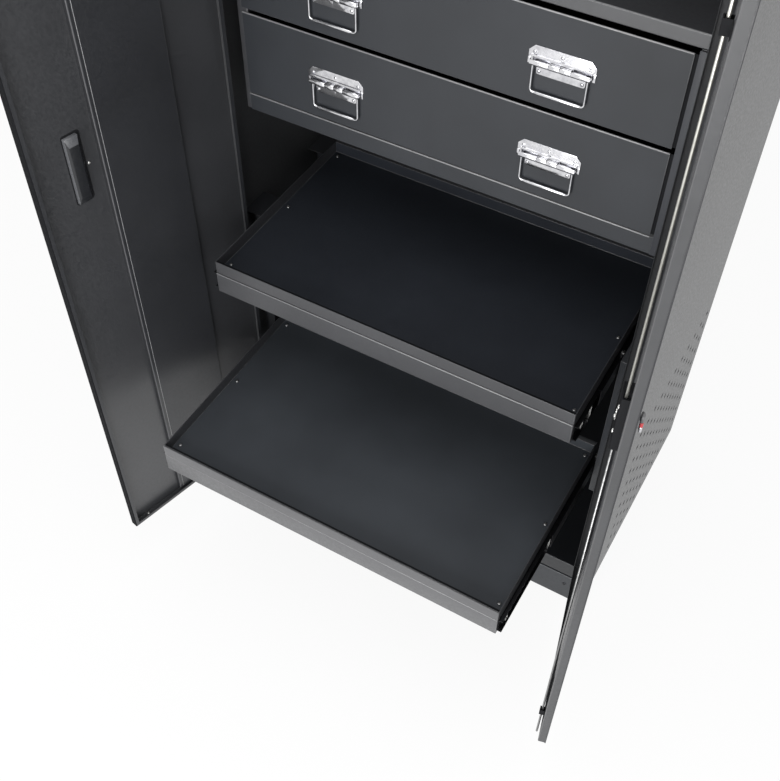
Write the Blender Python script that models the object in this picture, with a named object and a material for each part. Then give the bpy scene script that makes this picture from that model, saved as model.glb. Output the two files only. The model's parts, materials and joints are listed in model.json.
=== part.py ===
# Tall steel storage cabinet: two swing doors, two drawers, two roll-out trays.
# X runs to the right, Y to the back and Z up. The origin is on the floor, under the middle of the carcass.
# It stands as it is used: doors swung open, trays pulled out, drawers shut, drawer handles hanging.
import math

import bmesh
import bpy
from mathutils import Vector

# Driving dimensions in metres, angles in degrees

# Carcass
CABINET_WIDTH = 0.914
CABINET_DEPTH = 0.635
CABINET_HEIGHT = 1.981
SHEET = 0.0015
SEAT_GAP = 0.0003
SIDE_FLANGE = 0.014
PLINTH_HEIGHT = 0.092
PLINTH_SHADOW_GAP = 0.006
BOTTOM_RAIL_HEIGHT = 0.048
TOP_RAIL_HEIGHT = 0.060
RAIL_LIP = 0.012

# Vent field in the lower part of each side
VENT_COLUMNS = 11
VENT_ROWS = 11
VENT_HOLE = 0.012
VENT_FRONT_MARGIN = 0.1545
VENT_BACK_MARGIN = 0.0385
VENT_BASE_MARGIN = 0.044
VENT_FIELD_TOP = 0.506

# Doors, inset between the side flanges
DOOR_THICKNESS = 0.017
DOOR_LIP = 0.010
DOOR_SIDE_GAP = 0.002
DOOR_CENTRE_GAP = 0.003
DOOR_RAIL_GAP = 0.004
DOOR_SILL_GAP = 0.024
LEFT_DOOR_ANGLE = 103.5
RIGHT_DOOR_ANGLE = 103.8
STIFFENER_START = 0.128
STIFFENER_WIDTH = 0.171
STIFFENER_FOOT = 0.015
STIFFENER_SETBACK = 0.0065

# Hinges
HINGE_KNUCKLE_RADIUS = 0.0042
HINGE_LEAF = 0.0012
HINGE_LEAF_WIDTH = 0.012
HINGE_KNUCKLES = 13
HINGE_KNUCKLE_GAP = 0.0004
HINGE_PIN_GAP = 0.0003

# Pull in the left door
PULL_FROM_FREE_EDGE = 0.094
PULL_HEIGHT = 1.172
PULL_WIDTH = 0.028
PULL_LENGTH = 0.138
PULL_DEPTH = 0.0125
PULL_WALL = 0.0025
PULL_CHAMFER = 0.004
PULL_END_SLOPE = 0.016
PULL_FLANGE = 0.006
PULL_FLANGE_THICKNESS = 0.002

# Lock in the right door
LOCK_HEIGHT = 1.207
ROD_FROM_FREE_EDGE = 0.017
ROD_RADIUS = 0.0035
ROD_RISE = 0.0025
ROD_TRAVEL = 0.020
ROD_RUNNING_GAP = 0.0004
ROD_END_CLEARANCE = 0.008
LOCK_CASE_WIDTH = 0.034
LOCK_CASE_LENGTH = 0.108
LOCK_CASE_WALL = 0.0025
ROD_INSERTION = 0.014
SPINDLE_RADIUS = 0.0055
ROSE_RADIUS = 0.012
ROSE_THICKNESS = 0.0025
LEVER_LENGTH = 0.034
LEVER_WIDTH = 0.014
LEVER_TIP_WIDTH = 0.012
LEVER_THICKNESS = 0.005
LEVER_STANDOFF = 0.0006
GUIDE_STRAP = 0.0012
GUIDE_LENGTH = 0.018
GUIDE_FOOT = 0.008
GUIDE_NEAR_END = 0.110

# Inner fittings: supports between the side walls and the runners
SUPPORT_WIDTH = 0.0505
SUPPORT_SETBACK = 0.019
SUPPORT_LENGTH = 0.070
SUPPORT_FLANGE = 0.024
SUPPORT_FOOT = 0.018
REAR_SUPPORT_SETBACK = 0.266
SUPPORT_DROP = 0.121
SUPPORT_TOP_DROP = 0.032

# Ball runners
RUNNER_WIDTH = 0.0127
RUNNER_HEIGHT = 0.0456
RUNNER_SHEET = 0.0012
RUNNER_LIP = 0.0088
RUNNER_PLAY = 0.0005
RUNNER_LENGTH = 0.457
RUNNER_SETBACK = 0.003

# Roll-out trays
FITTINGS_SETBACK = 0.033
TRAY_DEPTH = 0.457
TRAY_RIM = 0.029
TRAY_APRON = 0.049
TRAY_APRON_PROUD = 0.0015
TRAY_FRAME_FLANGE = 0.030
LOWER_TRAY_HEIGHT = 0.551
UPPER_TRAY_HEIGHT = 0.876
LOWER_TRAY_PULLED = 0.448
UPPER_TRAY_PULLED = 0.204

# Drawers
DRAWER_RAIL_BOTTOM = 1.1065
DRAWER_RAIL_HEIGHT = 0.0365
DRAWER_RAIL_LAP = 0.008
DRAWER_COUNT = 2
DRAWER_FRONT_HEIGHT = 0.169
DRAWER_BASE_GAP = 0.002
DRAWER_FRONT_GAP = 0.008
DRAWER_FRONT_THICKNESS = 0.002
DRAWER_FRONT_OVERLAP = 0.0023
DRAWER_OFFSET = -0.0095
DRAWER_BOX_DEPTH = 0.457
DRAWER_BOX_HEIGHT = 0.128
DRAWER_BOX_LIFT = 0.012
DRAWER_RAIL_WELD = 0.0005
DRAWER_RIM_LIP = 0.008
HOUSING_DEPTH = 0.520
HOUSING_FLANGE = 0.022
SHELF_SKIRT = 0.025

# Drawer handles
HANDLE_SPACING = 0.420
HANDLE_DROP = 0.090
HANDLE_WIDTH = 0.115
HANDLE_LEAF = 0.0012
HANDLE_UPPER_LEAF = 0.027
HANDLE_KNUCKLE_RADIUS = 0.0046
HANDLE_KNUCKLES = 5
HANDLE_KNUCKLE_SPAN = 0.080
HANDLE_KNUCKLE_GAP = 0.0004
BAIL_WIDTH = 0.100
BAIL_DROP = 0.054
BAIL_WIRE_RADIUS = 0.003
BAIL_CORNER = 0.008

# Values that follow from the driving dimensions
FRONT = -CABINET_DEPTH / 2
BACK = CABINET_DEPTH / 2
HALF_WIDTH = CABINET_WIDTH / 2
WALL_INSIDE = HALF_WIDTH - SHEET
FIT_HALF_WIDTH = WALL_INSIDE - SEAT_GAP
RAIL_FRONT = FRONT + SHEET + SEAT_GAP
BACK_PANEL_REAR = BACK - SHEET - SEAT_GAP
BACK_PANEL_FRONT = BACK_PANEL_REAR - SHEET
FIT_BACK = BACK_PANEL_FRONT - SEAT_GAP
FLOOR_BOTTOM = PLINTH_HEIGHT + PLINTH_SHADOW_GAP
FLOOR_TOP = FLOOR_BOTTOM + BOTTOM_RAIL_HEIGHT
DOOR_BOTTOM = FLOOR_TOP + DOOR_SILL_GAP
DOOR_TOP = CABINET_HEIGHT - TOP_RAIL_HEIGHT - DOOR_RAIL_GAP
HINGE_X = HALF_WIDTH - SIDE_FLANGE
HINGE_Y = FRONT - SEAT_GAP - HINGE_KNUCKLE_RADIUS
DOOR_HINGE_EDGE = HINGE_X - DOOR_SIDE_GAP
DOOR_FREE_EDGE = DOOR_CENTRE_GAP / 2
DOOR_INNER = FRONT + DOOR_THICKNESS
SUPPORT_FACE = FIT_HALF_WIDTH - SUPPORT_WIDTH
RUNNER_OUTSIDE = SUPPORT_FACE - SEAT_GAP
RUNNER_INSIDE = RUNNER_OUTSIDE - RUNNER_WIDTH
TRAY_HALF_WIDTH = RUNNER_INSIDE - SEAT_GAP
FITTINGS_FRONT = FRONT + FITTINGS_SETBACK
RUNNER_FRONT = FITTINGS_FRONT + RUNNER_SETBACK
DRAWER_START = DRAWER_RAIL_BOTTOM + DRAWER_RAIL_HEIGHT + DRAWER_BASE_GAP
DRAWER_PITCH = DRAWER_FRONT_HEIGHT + DRAWER_FRONT_GAP
HOUSING_TOP = DRAWER_START + DRAWER_COUNT * DRAWER_PITCH
DRAWER_HALF_WIDTH = SUPPORT_FACE + DRAWER_FRONT_OVERLAP
DRAWER_FRONT_X = (DRAWER_OFFSET - DRAWER_HALF_WIDTH, DRAWER_OFFSET + DRAWER_HALF_WIDTH)
DRAWER_FACE_REAR = FITTINGS_FRONT - SEAT_GAP
DRAWER_FACE = DRAWER_FACE_REAR - DRAWER_FRONT_THICKNESS
SIDES = ((-1, "left"), (1, "right"))

for leftover in list(bpy.data.objects):
    bpy.data.objects.remove(leftover, do_unlink=True)


def make_finish(name, colour, roughness, metallic):
    finish = bpy.data.materials.new(name)
    finish.use_nodes = True
    shader = finish.node_tree.nodes["Principled BSDF"]
    shader.inputs["Base Color"].default_value = (*colour, 1.0)
    shader.inputs["Roughness"].default_value = roughness
    shader.inputs["Metallic"].default_value = metallic
    return finish


charcoal_coat = make_finish("charcoal_coat", (0.040, 0.042, 0.046), 0.45, 0.0)
tray_coat = make_finish("tray_coat", (0.030, 0.033, 0.038), 0.38, 0.0)
black_plastic = make_finish("black_plastic", (0.012, 0.013, 0.015), 0.40, 0.0)
zinc_plate = make_finish("zinc_plate", (0.62, 0.62, 0.60), 0.30, 1.0)
runner_steel = make_finish("runner_steel", (0.05, 0.05, 0.055), 0.35, 1.0)
chrome_plate = make_finish("chrome_plate", (0.80, 0.80, 0.82), 0.12, 1.0)


# Joint axes

def axis_empty(name, place, shift=(0, 0, 0), turn_z=0.0, parent=None):
    empty = bpy.data.objects.new(name, None)
    empty.empty_display_size = 0.05
    bpy.context.collection.objects.link(empty)
    empty["built_at"] = place
    empty.location = Vector(place) + Vector(shift)
    empty.rotation_euler = (0, 0, math.radians(turn_z))
    if parent:
        empty.parent = parent
        empty.location -= Vector(parent["built_at"])
    return empty


# Shapes are drawn where they are with everything shut; the axis empties carry them to where they stand.
def place(name, solid, finish, axis=None):
    bmesh.ops.recalc_face_normals(solid, faces=solid.faces)
    mesh = bpy.data.meshes.new(name)
    solid.to_mesh(mesh)
    solid.free()
    mesh.materials.append(finish)
    piece = bpy.data.objects.new(name, mesh)
    bpy.context.collection.objects.link(piece)
    if axis:
        piece.parent = axis
        piece.location = -Vector(axis["built_at"])
    return piece


def smooth(piece, angle=35):
    piece.data.shade_smooth()
    piece.data.set_sharp_from_angle(angle=math.radians(angle))


def cut(piece, name, solid, axis=None):
    cutter = place(name, solid, charcoal_coat, axis)
    cutter.hide_render = True
    cutter.display_type = "WIRE"
    hole = piece.modifiers.new(name, "BOOLEAN")
    hole.operation = "DIFFERENCE"
    hole.object = cutter


def weld(piece, name, solid, axis=None):
    part = place(name, solid, charcoal_coat, axis)
    part.hide_render = True
    part.display_type = "WIRE"
    seam = piece.modifiers.new(name, "BOOLEAN")
    seam.operation = "UNION"
    seam.object = part


# Shape builders

def add_rings(solid, rings, looped=False):
    loops = [[solid.verts.new(point) for point in ring] for ring in rings]
    count = len(loops[0])
    pairs = list(zip(loops, loops[1:]))
    if looped:
        pairs.append((loops[-1], loops[0]))
    else:
        solid.faces.new(loops[0])
        solid.faces.new(loops[-1])
    for lower, upper in pairs:
        for i in range(count):
            j = (i + 1) % count
            solid.faces.new((lower[i], lower[j], upper[j], upper[i]))


def flat_ring(x, y, z):
    return [(x[0], y[0], z), (x[1], y[0], z), (x[1], y[1], z), (x[0], y[1], z)]


def upright_ring(x, z, y):
    return [(x[0], y, z[0]), (x[1], y, z[0]), (x[1], y, z[1]), (x[0], y, z[1])]


def shrink(span, amount):
    return (span[0] + amount, span[1] - amount)


def add_block(solid, x, y, z):
    add_rings(solid, [flat_ring(x, y, z[0]), flat_ring(x, y, z[1])])


def circle_ring(centre, radius, level, axis, sides):
    ring = []
    for i in range(sides):
        angle = 2 * math.pi * i / sides
        ring.append(point_at(axis, centre[0] + radius * math.cos(angle),
                             centre[1] + radius * math.sin(angle), level))
    return ring


# A profile point (a, b) and a level along the axis it is drawn on
def point_at(axis, a, b, level):
    if axis == "X":
        return Vector((level, a, b))
    if axis == "Y":
        return Vector((a, level, b))
    return Vector((a, b, level))


# A turned shape: (radius, level) pairs along one axis
def add_turned(solid, centre, steps, axis, sides=16):
    add_rings(solid, [circle_ring(centre, radius, level, axis, sides) for radius, level in steps])


# The other face of a bent sheet, a thickness to the left of its path
def offset_path(path, thickness):
    points = [Vector(p) for p in path]
    normals = []
    for here, there in zip(points, points[1:]):
        along = (there - here).normalized()
        normals.append(Vector((-along.y, along.x)))
    shifted = []
    for i, point in enumerate(points):
        before = normals[max(i - 1, 0)]
        after = normals[min(i, len(normals) - 1)]
        shifted.append(point + (before + after) * thickness / (1 + before.dot(after)))
    return shifted


# Bent sheet: a profile path with a thickness, run through stations along an axis, with open cells left out
def add_sheet(solid, path, thickness, stations, axis, open_cells=()):
    faces = [[Vector(p) for p in path], offset_path(path, thickness)]
    grid = []
    for face in faces:
        grid.append([[solid.verts.new(point_at(axis, p.x, p.y, level)) for level in stations] for p in face])
    columns = len(path) - 1
    rows = len(stations) - 1

    def is_solid(i, j):
        return 0 <= i < columns and 0 <= j < rows and (i, j) not in open_cells

    for i in range(columns):
        for j in range(rows):
            if not is_solid(i, j):
                continue
            corners = [(i, j), (i + 1, j), (i + 1, j + 1), (i, j + 1)]
            for skin in grid:
                solid.faces.new([skin[a][b] for a, b in corners])
            neighbours = [(i, j - 1), (i + 1, j), (i, j + 1), (i - 1, j)]
            for k, neighbour in enumerate(neighbours):
                if is_solid(*neighbour):
                    continue
                (a, b), (c, d) = corners[k], corners[(k + 1) % 4]
                solid.faces.new((grid[0][a][b], grid[0][c][d], grid[1][c][d], grid[1][a][b]))
    loose = [v for v in solid.verts if not v.link_faces]
    bmesh.ops.delete(solid, geom=loose, context="VERTS")


def mirrored(path, side):
    points = [(side * a, b) for a, b in path]
    return points if side > 0 else points[::-1]


def arc(centre, radius, start, sweep, steps):
    points = []
    for i in range(steps + 1):
        angle = math.radians(start + sweep * i / steps)
        points.append((centre[0] + radius * math.cos(angle), centre[1] + radius * math.sin(angle)))
    return points


# Carcass

# Both edges of each vent hole along one direction of the field
def vent_edges(first, last, count):
    pitch = (last - first - VENT_HOLE) / (count - 1)
    edges = []
    for i in range(count):
        edges += [first + i * pitch, first + i * pitch + VENT_HOLE]
    return edges


def make_side_panel(name, side):
    columns = vent_edges(FRONT + VENT_FRONT_MARGIN, BACK - VENT_BACK_MARGIN, VENT_COLUMNS)
    rows = [0.0] + vent_edges(VENT_BASE_MARGIN, VENT_FIELD_TOP, VENT_ROWS) + [CABINET_HEIGHT]
    flange_x = HALF_WIDTH - SIDE_FLANGE
    path = [(flange_x, FRONT), (HALF_WIDTH, FRONT)]
    path += [(HALF_WIDTH, y) for y in columns]
    path += [(HALF_WIDTH, BACK), (flange_x, BACK)]
    holes = {(2 + 2 * i, 1 + 2 * j) for i in range(VENT_COLUMNS) for j in range(VENT_ROWS)}
    if side < 0:
        last = len(path) - 2
        holes = {(last - i, j) for i, j in holes}
    solid = bmesh.new()
    add_sheet(solid, mirrored(path, side), SHEET, rows, "Z", holes)
    place(name, solid, charcoal_coat)


def make_carcass():
    make_side_panel("left_side_panel", -1)
    make_side_panel("right_side_panel", 1)
    inside_x = (-FIT_HALF_WIDTH, FIT_HALF_WIDTH)

    solid = bmesh.new()
    add_block(solid, inside_x, (BACK_PANEL_FRONT, BACK_PANEL_REAR), (FLOOR_BOTTOM, CABINET_HEIGHT))
    place("back_panel", solid, charcoal_coat)

    deep_y = (RAIL_FRONT, FIT_BACK)
    solid = bmesh.new()
    add_pan(solid, inside_x, deep_y, FLOOR_TOP, FLOOR_BOTTOM, RAIL_LIP)
    place("floor_pan", solid, charcoal_coat)

    solid = bmesh.new()
    add_pan(solid, inside_x, deep_y, CABINET_HEIGHT, CABINET_HEIGHT - TOP_RAIL_HEIGHT, RAIL_LIP)
    place("top_pan", solid, charcoal_coat)

    # The base is a closed tray that stands on the floor
    solid = bmesh.new()
    add_pan(solid, inside_x, (RAIL_FRONT, BACK_PANEL_REAR), 0, PLINTH_HEIGHT, RAIL_LIP)
    place("plinth_pan", solid, charcoal_coat)

    # The shelf over the drawers, a pan turned over
    solid = bmesh.new()
    shelf_y = (FITTINGS_FRONT, FIT_BACK)
    shelf_top = HOUSING_TOP + SEAT_GAP + SHELF_SKIRT
    add_pan(solid, inside_x, shelf_y, shelf_top, HOUSING_TOP + SEAT_GAP, RAIL_LIP)
    place("drawer_shelf", solid, charcoal_coat)


# A folded pan with a lip turned in round its open side; it opens towards the rim level
def add_pan(solid, x, y, floor, rim, lip):
    up = 1 if rim > floor else -1
    inner_x, inner_y = shrink(x, SHEET), shrink(y, SHEET)
    lip_x, lip_y = shrink(x, lip), shrink(y, lip)
    add_rings(solid, [
        flat_ring(x, y, floor),
        flat_ring(x, y, rim),
        flat_ring(lip_x, lip_y, rim),
        flat_ring(lip_x, lip_y, rim - up * SHEET),
        flat_ring(inner_x, inner_y, rim - up * SHEET),
        flat_ring(inner_x, inner_y, floor + up * SHEET),
    ])


# Uprights that carry the tray runners off the side walls, a pair at the front and a pair behind
def make_upright(name, side, setback):
    near = FRONT + setback
    far = near + SUPPORT_LENGTH
    path = [(SUPPORT_FACE + SUPPORT_FLANGE, near), (SUPPORT_FACE, near), (SUPPORT_FACE, far),
            (FIT_HALF_WIDTH, far), (FIT_HALF_WIDTH, far - SUPPORT_FOOT)]
    solid = bmesh.new()
    top = UPPER_TRAY_HEIGHT - SUPPORT_TOP_DROP
    add_sheet(solid, mirrored(path[::-1], side), SHEET, (LOWER_TRAY_HEIGHT - SUPPORT_DROP, top), "Z")
    upright = place(name, solid, charcoal_coat)
    cap = bmesh.new()
    cap_x = sorted((side * SUPPORT_FACE, side * FIT_HALF_WIDTH))
    add_block(cap, cap_x, (near, far), (top - SHEET / 2, top + SHEET / 2))
    weld(upright, name + "_cap", cap)


# Drawer housing: two side sheets with a front post each, hung under the shelf, and a rail across their feet
def make_drawer_housing():
    rear = FITTINGS_FRONT + HOUSING_DEPTH
    for side, word in SIDES:
        path = [(SUPPORT_FACE + HOUSING_FLANGE, FITTINGS_FRONT), (SUPPORT_FACE, FITTINGS_FRONT),
                (SUPPORT_FACE, rear), (SUPPORT_FACE + HOUSING_FLANGE, rear)]
        solid = bmesh.new()
        add_sheet(solid, mirrored(path[::-1], side), SHEET, (DRAWER_RAIL_BOTTOM, HOUSING_TOP), "Z")
        housing = place(f"{word}_drawer_housing", solid, charcoal_coat)
        # One channel for each drawer, welded on
        for i in range(DRAWER_COUNT):
            centre = drawer_rail_centre(DRAWER_START + i * DRAWER_PITCH)
            half = RUNNER_HEIGHT / 2
            web = SUPPORT_FACE + DRAWER_RAIL_WELD
            lip = RUNNER_OUTSIDE - RUNNER_LIP
            channel = [(lip, centre - half), (web, centre - half), (web, centre + half), (lip, centre + half)]
            solid = bmesh.new()
            span = (RUNNER_FRONT, RUNNER_FRONT + RUNNER_LENGTH)
            add_sheet(solid, mirrored(channel, side), RUNNER_SHEET, span, "Y")
            weld(housing, f"{word}_drawer_channel_{i + 1}", solid)

    # The rail laps the post on its right; on the left it ends level with the drawer fronts
    rail_x = (DRAWER_FRONT_X[0], SUPPORT_FACE + DRAWER_RAIL_LAP)
    rail_z = (DRAWER_RAIL_BOTTOM, DRAWER_RAIL_BOTTOM + DRAWER_RAIL_HEIGHT)
    solid = bmesh.new()
    add_block(solid, rail_x, (DRAWER_FACE, DRAWER_FACE_REAR), rail_z)
    place("drawer_rail", solid, charcoal_coat)


def drawer_rail_centre(front_bottom):
    return front_bottom + DRAWER_BOX_LIFT + DRAWER_BOX_HEIGHT / 2


# Ball runners of the trays: three channels nested in one another on each side
def runner_profile(member, centre):
    half = RUNNER_HEIGHT / 2 - member * (RUNNER_SHEET + RUNNER_PLAY)
    if member < 2:
        web = RUNNER_OUTSIDE - member * (RUNNER_WIDTH - RUNNER_LIP) / 2
        lip = web - RUNNER_LIP
        return [(lip, centre - half), (web, centre - half), (web, centre + half), (lip, centre + half)]
    web = RUNNER_INSIDE
    lip = web + RUNNER_LIP
    return [(lip, centre + half), (web, centre + half), (web, centre - half), (lip, centre - half)]


def make_runners(tray, member, word, centre, axis=None):
    span = (RUNNER_FRONT, RUNNER_FRONT + RUNNER_LENGTH)
    for side, hand in SIDES:
        solid = bmesh.new()
        add_sheet(solid, mirrored(runner_profile(member, centre), side), RUNNER_SHEET, span, "Y")
        place(f"{tray}_{hand}_{word}_runner", solid, runner_steel, axis)


# A shallow pan on a frame with a taller front apron
def make_tray(name, rim, pulled):
    floor = rim - TRAY_RIM
    centre = floor - TRAY_APRON / 2
    start = (0, FITTINGS_FRONT, centre)
    axis = axis_empty(name + "_slide_axis", start, (0, -pulled, 0))
    middle_axis = axis_empty(name + "_middle_slide_axis", start, (0, -pulled / 2, 0))
    tray_x = (-TRAY_HALF_WIDTH, TRAY_HALF_WIDTH)
    tray_y = (FITTINGS_FRONT, FITTINGS_FRONT + TRAY_DEPTH)

    solid = bmesh.new()
    add_rings(solid, [
        flat_ring(tray_x, tray_y, floor),
        flat_ring(tray_x, tray_y, rim),
        flat_ring(shrink(tray_x, SHEET), shrink(tray_y, SHEET), rim),
        flat_ring(shrink(tray_x, SHEET), shrink(tray_y, SHEET), floor + SHEET),
    ])
    place(name + "_pan", solid, tray_coat, axis)

    frame_y = (tray_y[0] - TRAY_APRON_PROUD, tray_y[1])
    top = floor - SEAT_GAP
    bottom = top - TRAY_APRON
    inner_x, inner_y = shrink(tray_x, SHEET), shrink(frame_y, SHEET)
    flange_x, flange_y = shrink(tray_x, TRAY_FRAME_FLANGE), shrink(frame_y, TRAY_FRAME_FLANGE)
    solid = bmesh.new()
    add_rings(solid, [
        flat_ring(tray_x, frame_y, bottom),
        flat_ring(tray_x, frame_y, top),
        flat_ring(flange_x, flange_y, top),
        flat_ring(flange_x, flange_y, top - SHEET),
        flat_ring(inner_x, inner_y, top - SHEET),
        flat_ring(inner_x, inner_y, bottom),
    ], looped=True)
    place(name + "_frame", solid, charcoal_coat, axis)

    make_runners(name, 0, "outer", centre)
    make_runners(name, 1, "middle", centre, middle_axis)
    make_runners(name, 2, "inner", centre, axis)


# Drawer with a plate front set a little to the left, a folded box with rails, and two drop handles
def make_drawer(name, front_bottom):
    centre = drawer_rail_centre(front_bottom)
    axis = axis_empty(name + "_slide_axis", (0, FITTINGS_FRONT, centre))
    front_top = front_bottom + DRAWER_FRONT_HEIGHT

    solid = bmesh.new()
    add_block(solid, DRAWER_FRONT_X, (DRAWER_FACE, DRAWER_FACE_REAR), (front_bottom, front_top))
    place(name + "_front", solid, charcoal_coat, axis)

    box_x = (-TRAY_HALF_WIDTH, TRAY_HALF_WIDTH)
    box_y = (FITTINGS_FRONT, FITTINGS_FRONT + DRAWER_BOX_DEPTH)
    box_bottom = front_bottom + DRAWER_BOX_LIFT
    solid = bmesh.new()
    add_pan(solid, box_x, box_y, box_bottom, box_bottom + DRAWER_BOX_HEIGHT, DRAWER_RIM_LIP)
    box = place(name + "_box", solid, charcoal_coat, axis)
    half = RUNNER_HEIGHT / 2 - RUNNER_SHEET - RUNNER_PLAY
    web = TRAY_HALF_WIDTH - DRAWER_RAIL_WELD
    lip = SUPPORT_FACE + DRAWER_RAIL_WELD - RUNNER_SHEET - RUNNER_PLAY
    rail = [(lip, centre + half), (web, centre + half), (web, centre - half), (lip, centre - half)]
    for side, word in SIDES:
        solid = bmesh.new()
        span = (RUNNER_FRONT, RUNNER_FRONT + RUNNER_LENGTH - RUNNER_SETBACK * 2)
        add_sheet(solid, mirrored(rail, side), RUNNER_SHEET, span, "Y")
        weld(box, f"{name}_{word}_rail", solid, axis)

    barrel_y = DRAWER_FACE - SEAT_GAP - HANDLE_KNUCKLE_RADIUS
    barrel_z = front_top - HANDLE_DROP
    for side, word in SIDES:
        middle = DRAWER_OFFSET + side * HANDLE_SPACING / 2
        make_handle_plate(f"{name}_{word}_handle_plate", middle, barrel_y, barrel_z, axis)
        bail_axis = axis_empty(f"{name}_{word}_bail_axis", (middle, barrel_y, barrel_z), parent=axis)
        make_bail(f"{name}_{word}_bail", middle, barrel_y, barrel_z, bail_axis)


# A plate with knuckles rolled down, under and up the front round the top bar of the bail
def make_handle_plate(name, middle, barrel_y, barrel_z, axis):
    seat = DRAWER_FACE - SEAT_GAP
    pitch = HANDLE_KNUCKLE_SPAN / HANDLE_KNUCKLES
    first = middle - HANDLE_KNUCKLE_SPAN / 2
    path = [(seat, barrel_z + HANDLE_UPPER_LEAF), (seat, barrel_z + HANDLE_KNUCKLE_RADIUS)]
    path += arc((barrel_y, barrel_z), HANDLE_KNUCKLE_RADIUS, 0, -250, 10)
    stations = [middle - HANDLE_WIDTH / 2]
    for k in range(0, HANDLE_KNUCKLES, 2):
        stations += [first + k * pitch + HANDLE_KNUCKLE_GAP, first + (k + 1) * pitch - HANDLE_KNUCKLE_GAP]
    stations.append(middle + HANDLE_WIDTH / 2)
    gaps = {(i, j) for i in range(1, len(path) - 1) for j in range(0, len(stations) - 1, 2)}
    solid = bmesh.new()
    add_sheet(solid, path, -HANDLE_LEAF, stations, "X", gaps)
    smooth(place(name, solid, chrome_plate, axis))


# A closed loop of wire: its top bar turns in the knuckles, its lower bar is gripped
def make_bail(name, middle, barrel_y, barrel_z, axis):
    half = BAIL_WIDTH / 2 - BAIL_WIRE_RADIUS
    low = barrel_z - BAIL_DROP
    corner_steps = 4
    route = []
    for x, z, start in ((middle + half, barrel_z, 90), (middle - half, barrel_z, 180),
                        (middle - half, low, 270), (middle + half, low, 0)):
        inward_x = math.copysign(BAIL_CORNER, middle - x)
        inward_z = math.copysign(BAIL_CORNER, (barrel_z + low) / 2 - z)
        bend = arc((x + inward_x, z + inward_z), BAIL_CORNER, start - 90, 90, corner_steps)
        route += bend
    wire = bpy.data.curves.new(name, "CURVE")
    wire.dimensions = "3D"
    wire.bevel_depth = BAIL_WIRE_RADIUS
    wire.bevel_resolution = 2
    spline = wire.splines.new("POLY")
    spline.points.add(len(route) - 1)
    for point, (x, z) in zip(spline.points, route):
        point.co = (x, barrel_y, z, 1)
    spline.use_cyclic_u = True
    wire.materials.append(chrome_plate)
    bail = bpy.data.objects.new(name, wire)
    bpy.context.collection.objects.link(bail)
    bail.parent = axis
    bail.location = -Vector(axis["built_at"])


# Doors, drawn shut

def add_door_pan(solid, side):
    x = sorted((side * DOOR_HINGE_EDGE, side * DOOR_FREE_EDGE))
    z = (DOOR_BOTTOM, DOOR_TOP)
    add_rings(solid, [
        upright_ring(x, z, FRONT),
        upright_ring(x, z, DOOR_INNER),
        upright_ring(shrink(x, DOOR_LIP), shrink(z, DOOR_LIP), DOOR_INNER),
        upright_ring(shrink(x, DOOR_LIP), shrink(z, DOOR_LIP), DOOR_INNER - SHEET),
        upright_ring(shrink(x, SHEET), shrink(z, SHEET), DOOR_INNER - SHEET),
        upright_ring(shrink(x, SHEET), shrink(z, SHEET), FRONT + SHEET),
    ])


# The wide shallow stiffener on the inside of a door, a channel with its feet turned in
def add_stiffener(solid, side):
    near = HINGE_X - STIFFENER_START
    far = near - STIFFENER_WIDTH
    foot = FRONT + SHEET + SEAT_GAP
    crown = DOOR_INNER - STIFFENER_SETBACK
    path = [(near - STIFFENER_FOOT, foot), (near, foot), (near, crown), (far, crown), (far, foot),
            (far + STIFFENER_FOOT, foot)]
    spare = DOOR_LIP + SEAT_GAP
    levels = (DOOR_BOTTOM + spare, DOOR_TOP - spare)
    add_sheet(solid, mirrored(path, side), SHEET, levels, "Z")


# A hinge runs the full height of each door: two leaves with knuckles that take turns on one long pin
def make_hinge_leaf(name, side, outward, first, axis=None):
    pitch = (DOOR_TOP - DOOR_BOTTOM) / HINGE_KNUCKLES
    seat = FRONT - SEAT_GAP
    notch = HINGE_KNUCKLE_RADIUS * 1.2
    path = [(HINGE_X + outward * HINGE_LEAF_WIDTH, seat), (HINGE_X + outward * notch, seat)]
    path += arc((HINGE_X, HINGE_Y), HINGE_KNUCKLE_RADIUS, 90, outward * 290, 8)
    levels = [] if first == 0 else [DOOR_BOTTOM]
    for k in range(first, HINGE_KNUCKLES, 2):
        start = DOOR_BOTTOM + k * pitch
        levels += [start + HINGE_KNUCKLE_GAP, start + pitch - HINGE_KNUCKLE_GAP]
    if first:
        levels.append(DOOR_TOP)
    gaps = {(i, j) for i in range(1, len(path) - 1) for j in range(len(levels) - 1) if j % 2 != first}
    solid = bmesh.new()
    add_sheet(solid, [(side * a, b) for a, b in path], HINGE_LEAF * outward * side, levels, "Z", gaps)
    smooth(place(name, solid, zinc_plate, axis))


def make_hinge(word, side, axis):
    make_hinge_leaf(f"{word}_frame_hinge_leaf", side, 1, 0)
    make_hinge_leaf(f"{word}_door_hinge_leaf", side, -1, 1, axis)
    solid = bmesh.new()
    radius = HINGE_KNUCKLE_RADIUS - HINGE_LEAF - HINGE_PIN_GAP
    add_turned(solid, (side * HINGE_X, HINGE_Y), [(radius, DOOR_BOTTOM), (radius, DOOR_TOP)], "Z", 10)
    smooth(place(f"{word}_hinge_pin", solid, zinc_plate))


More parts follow.
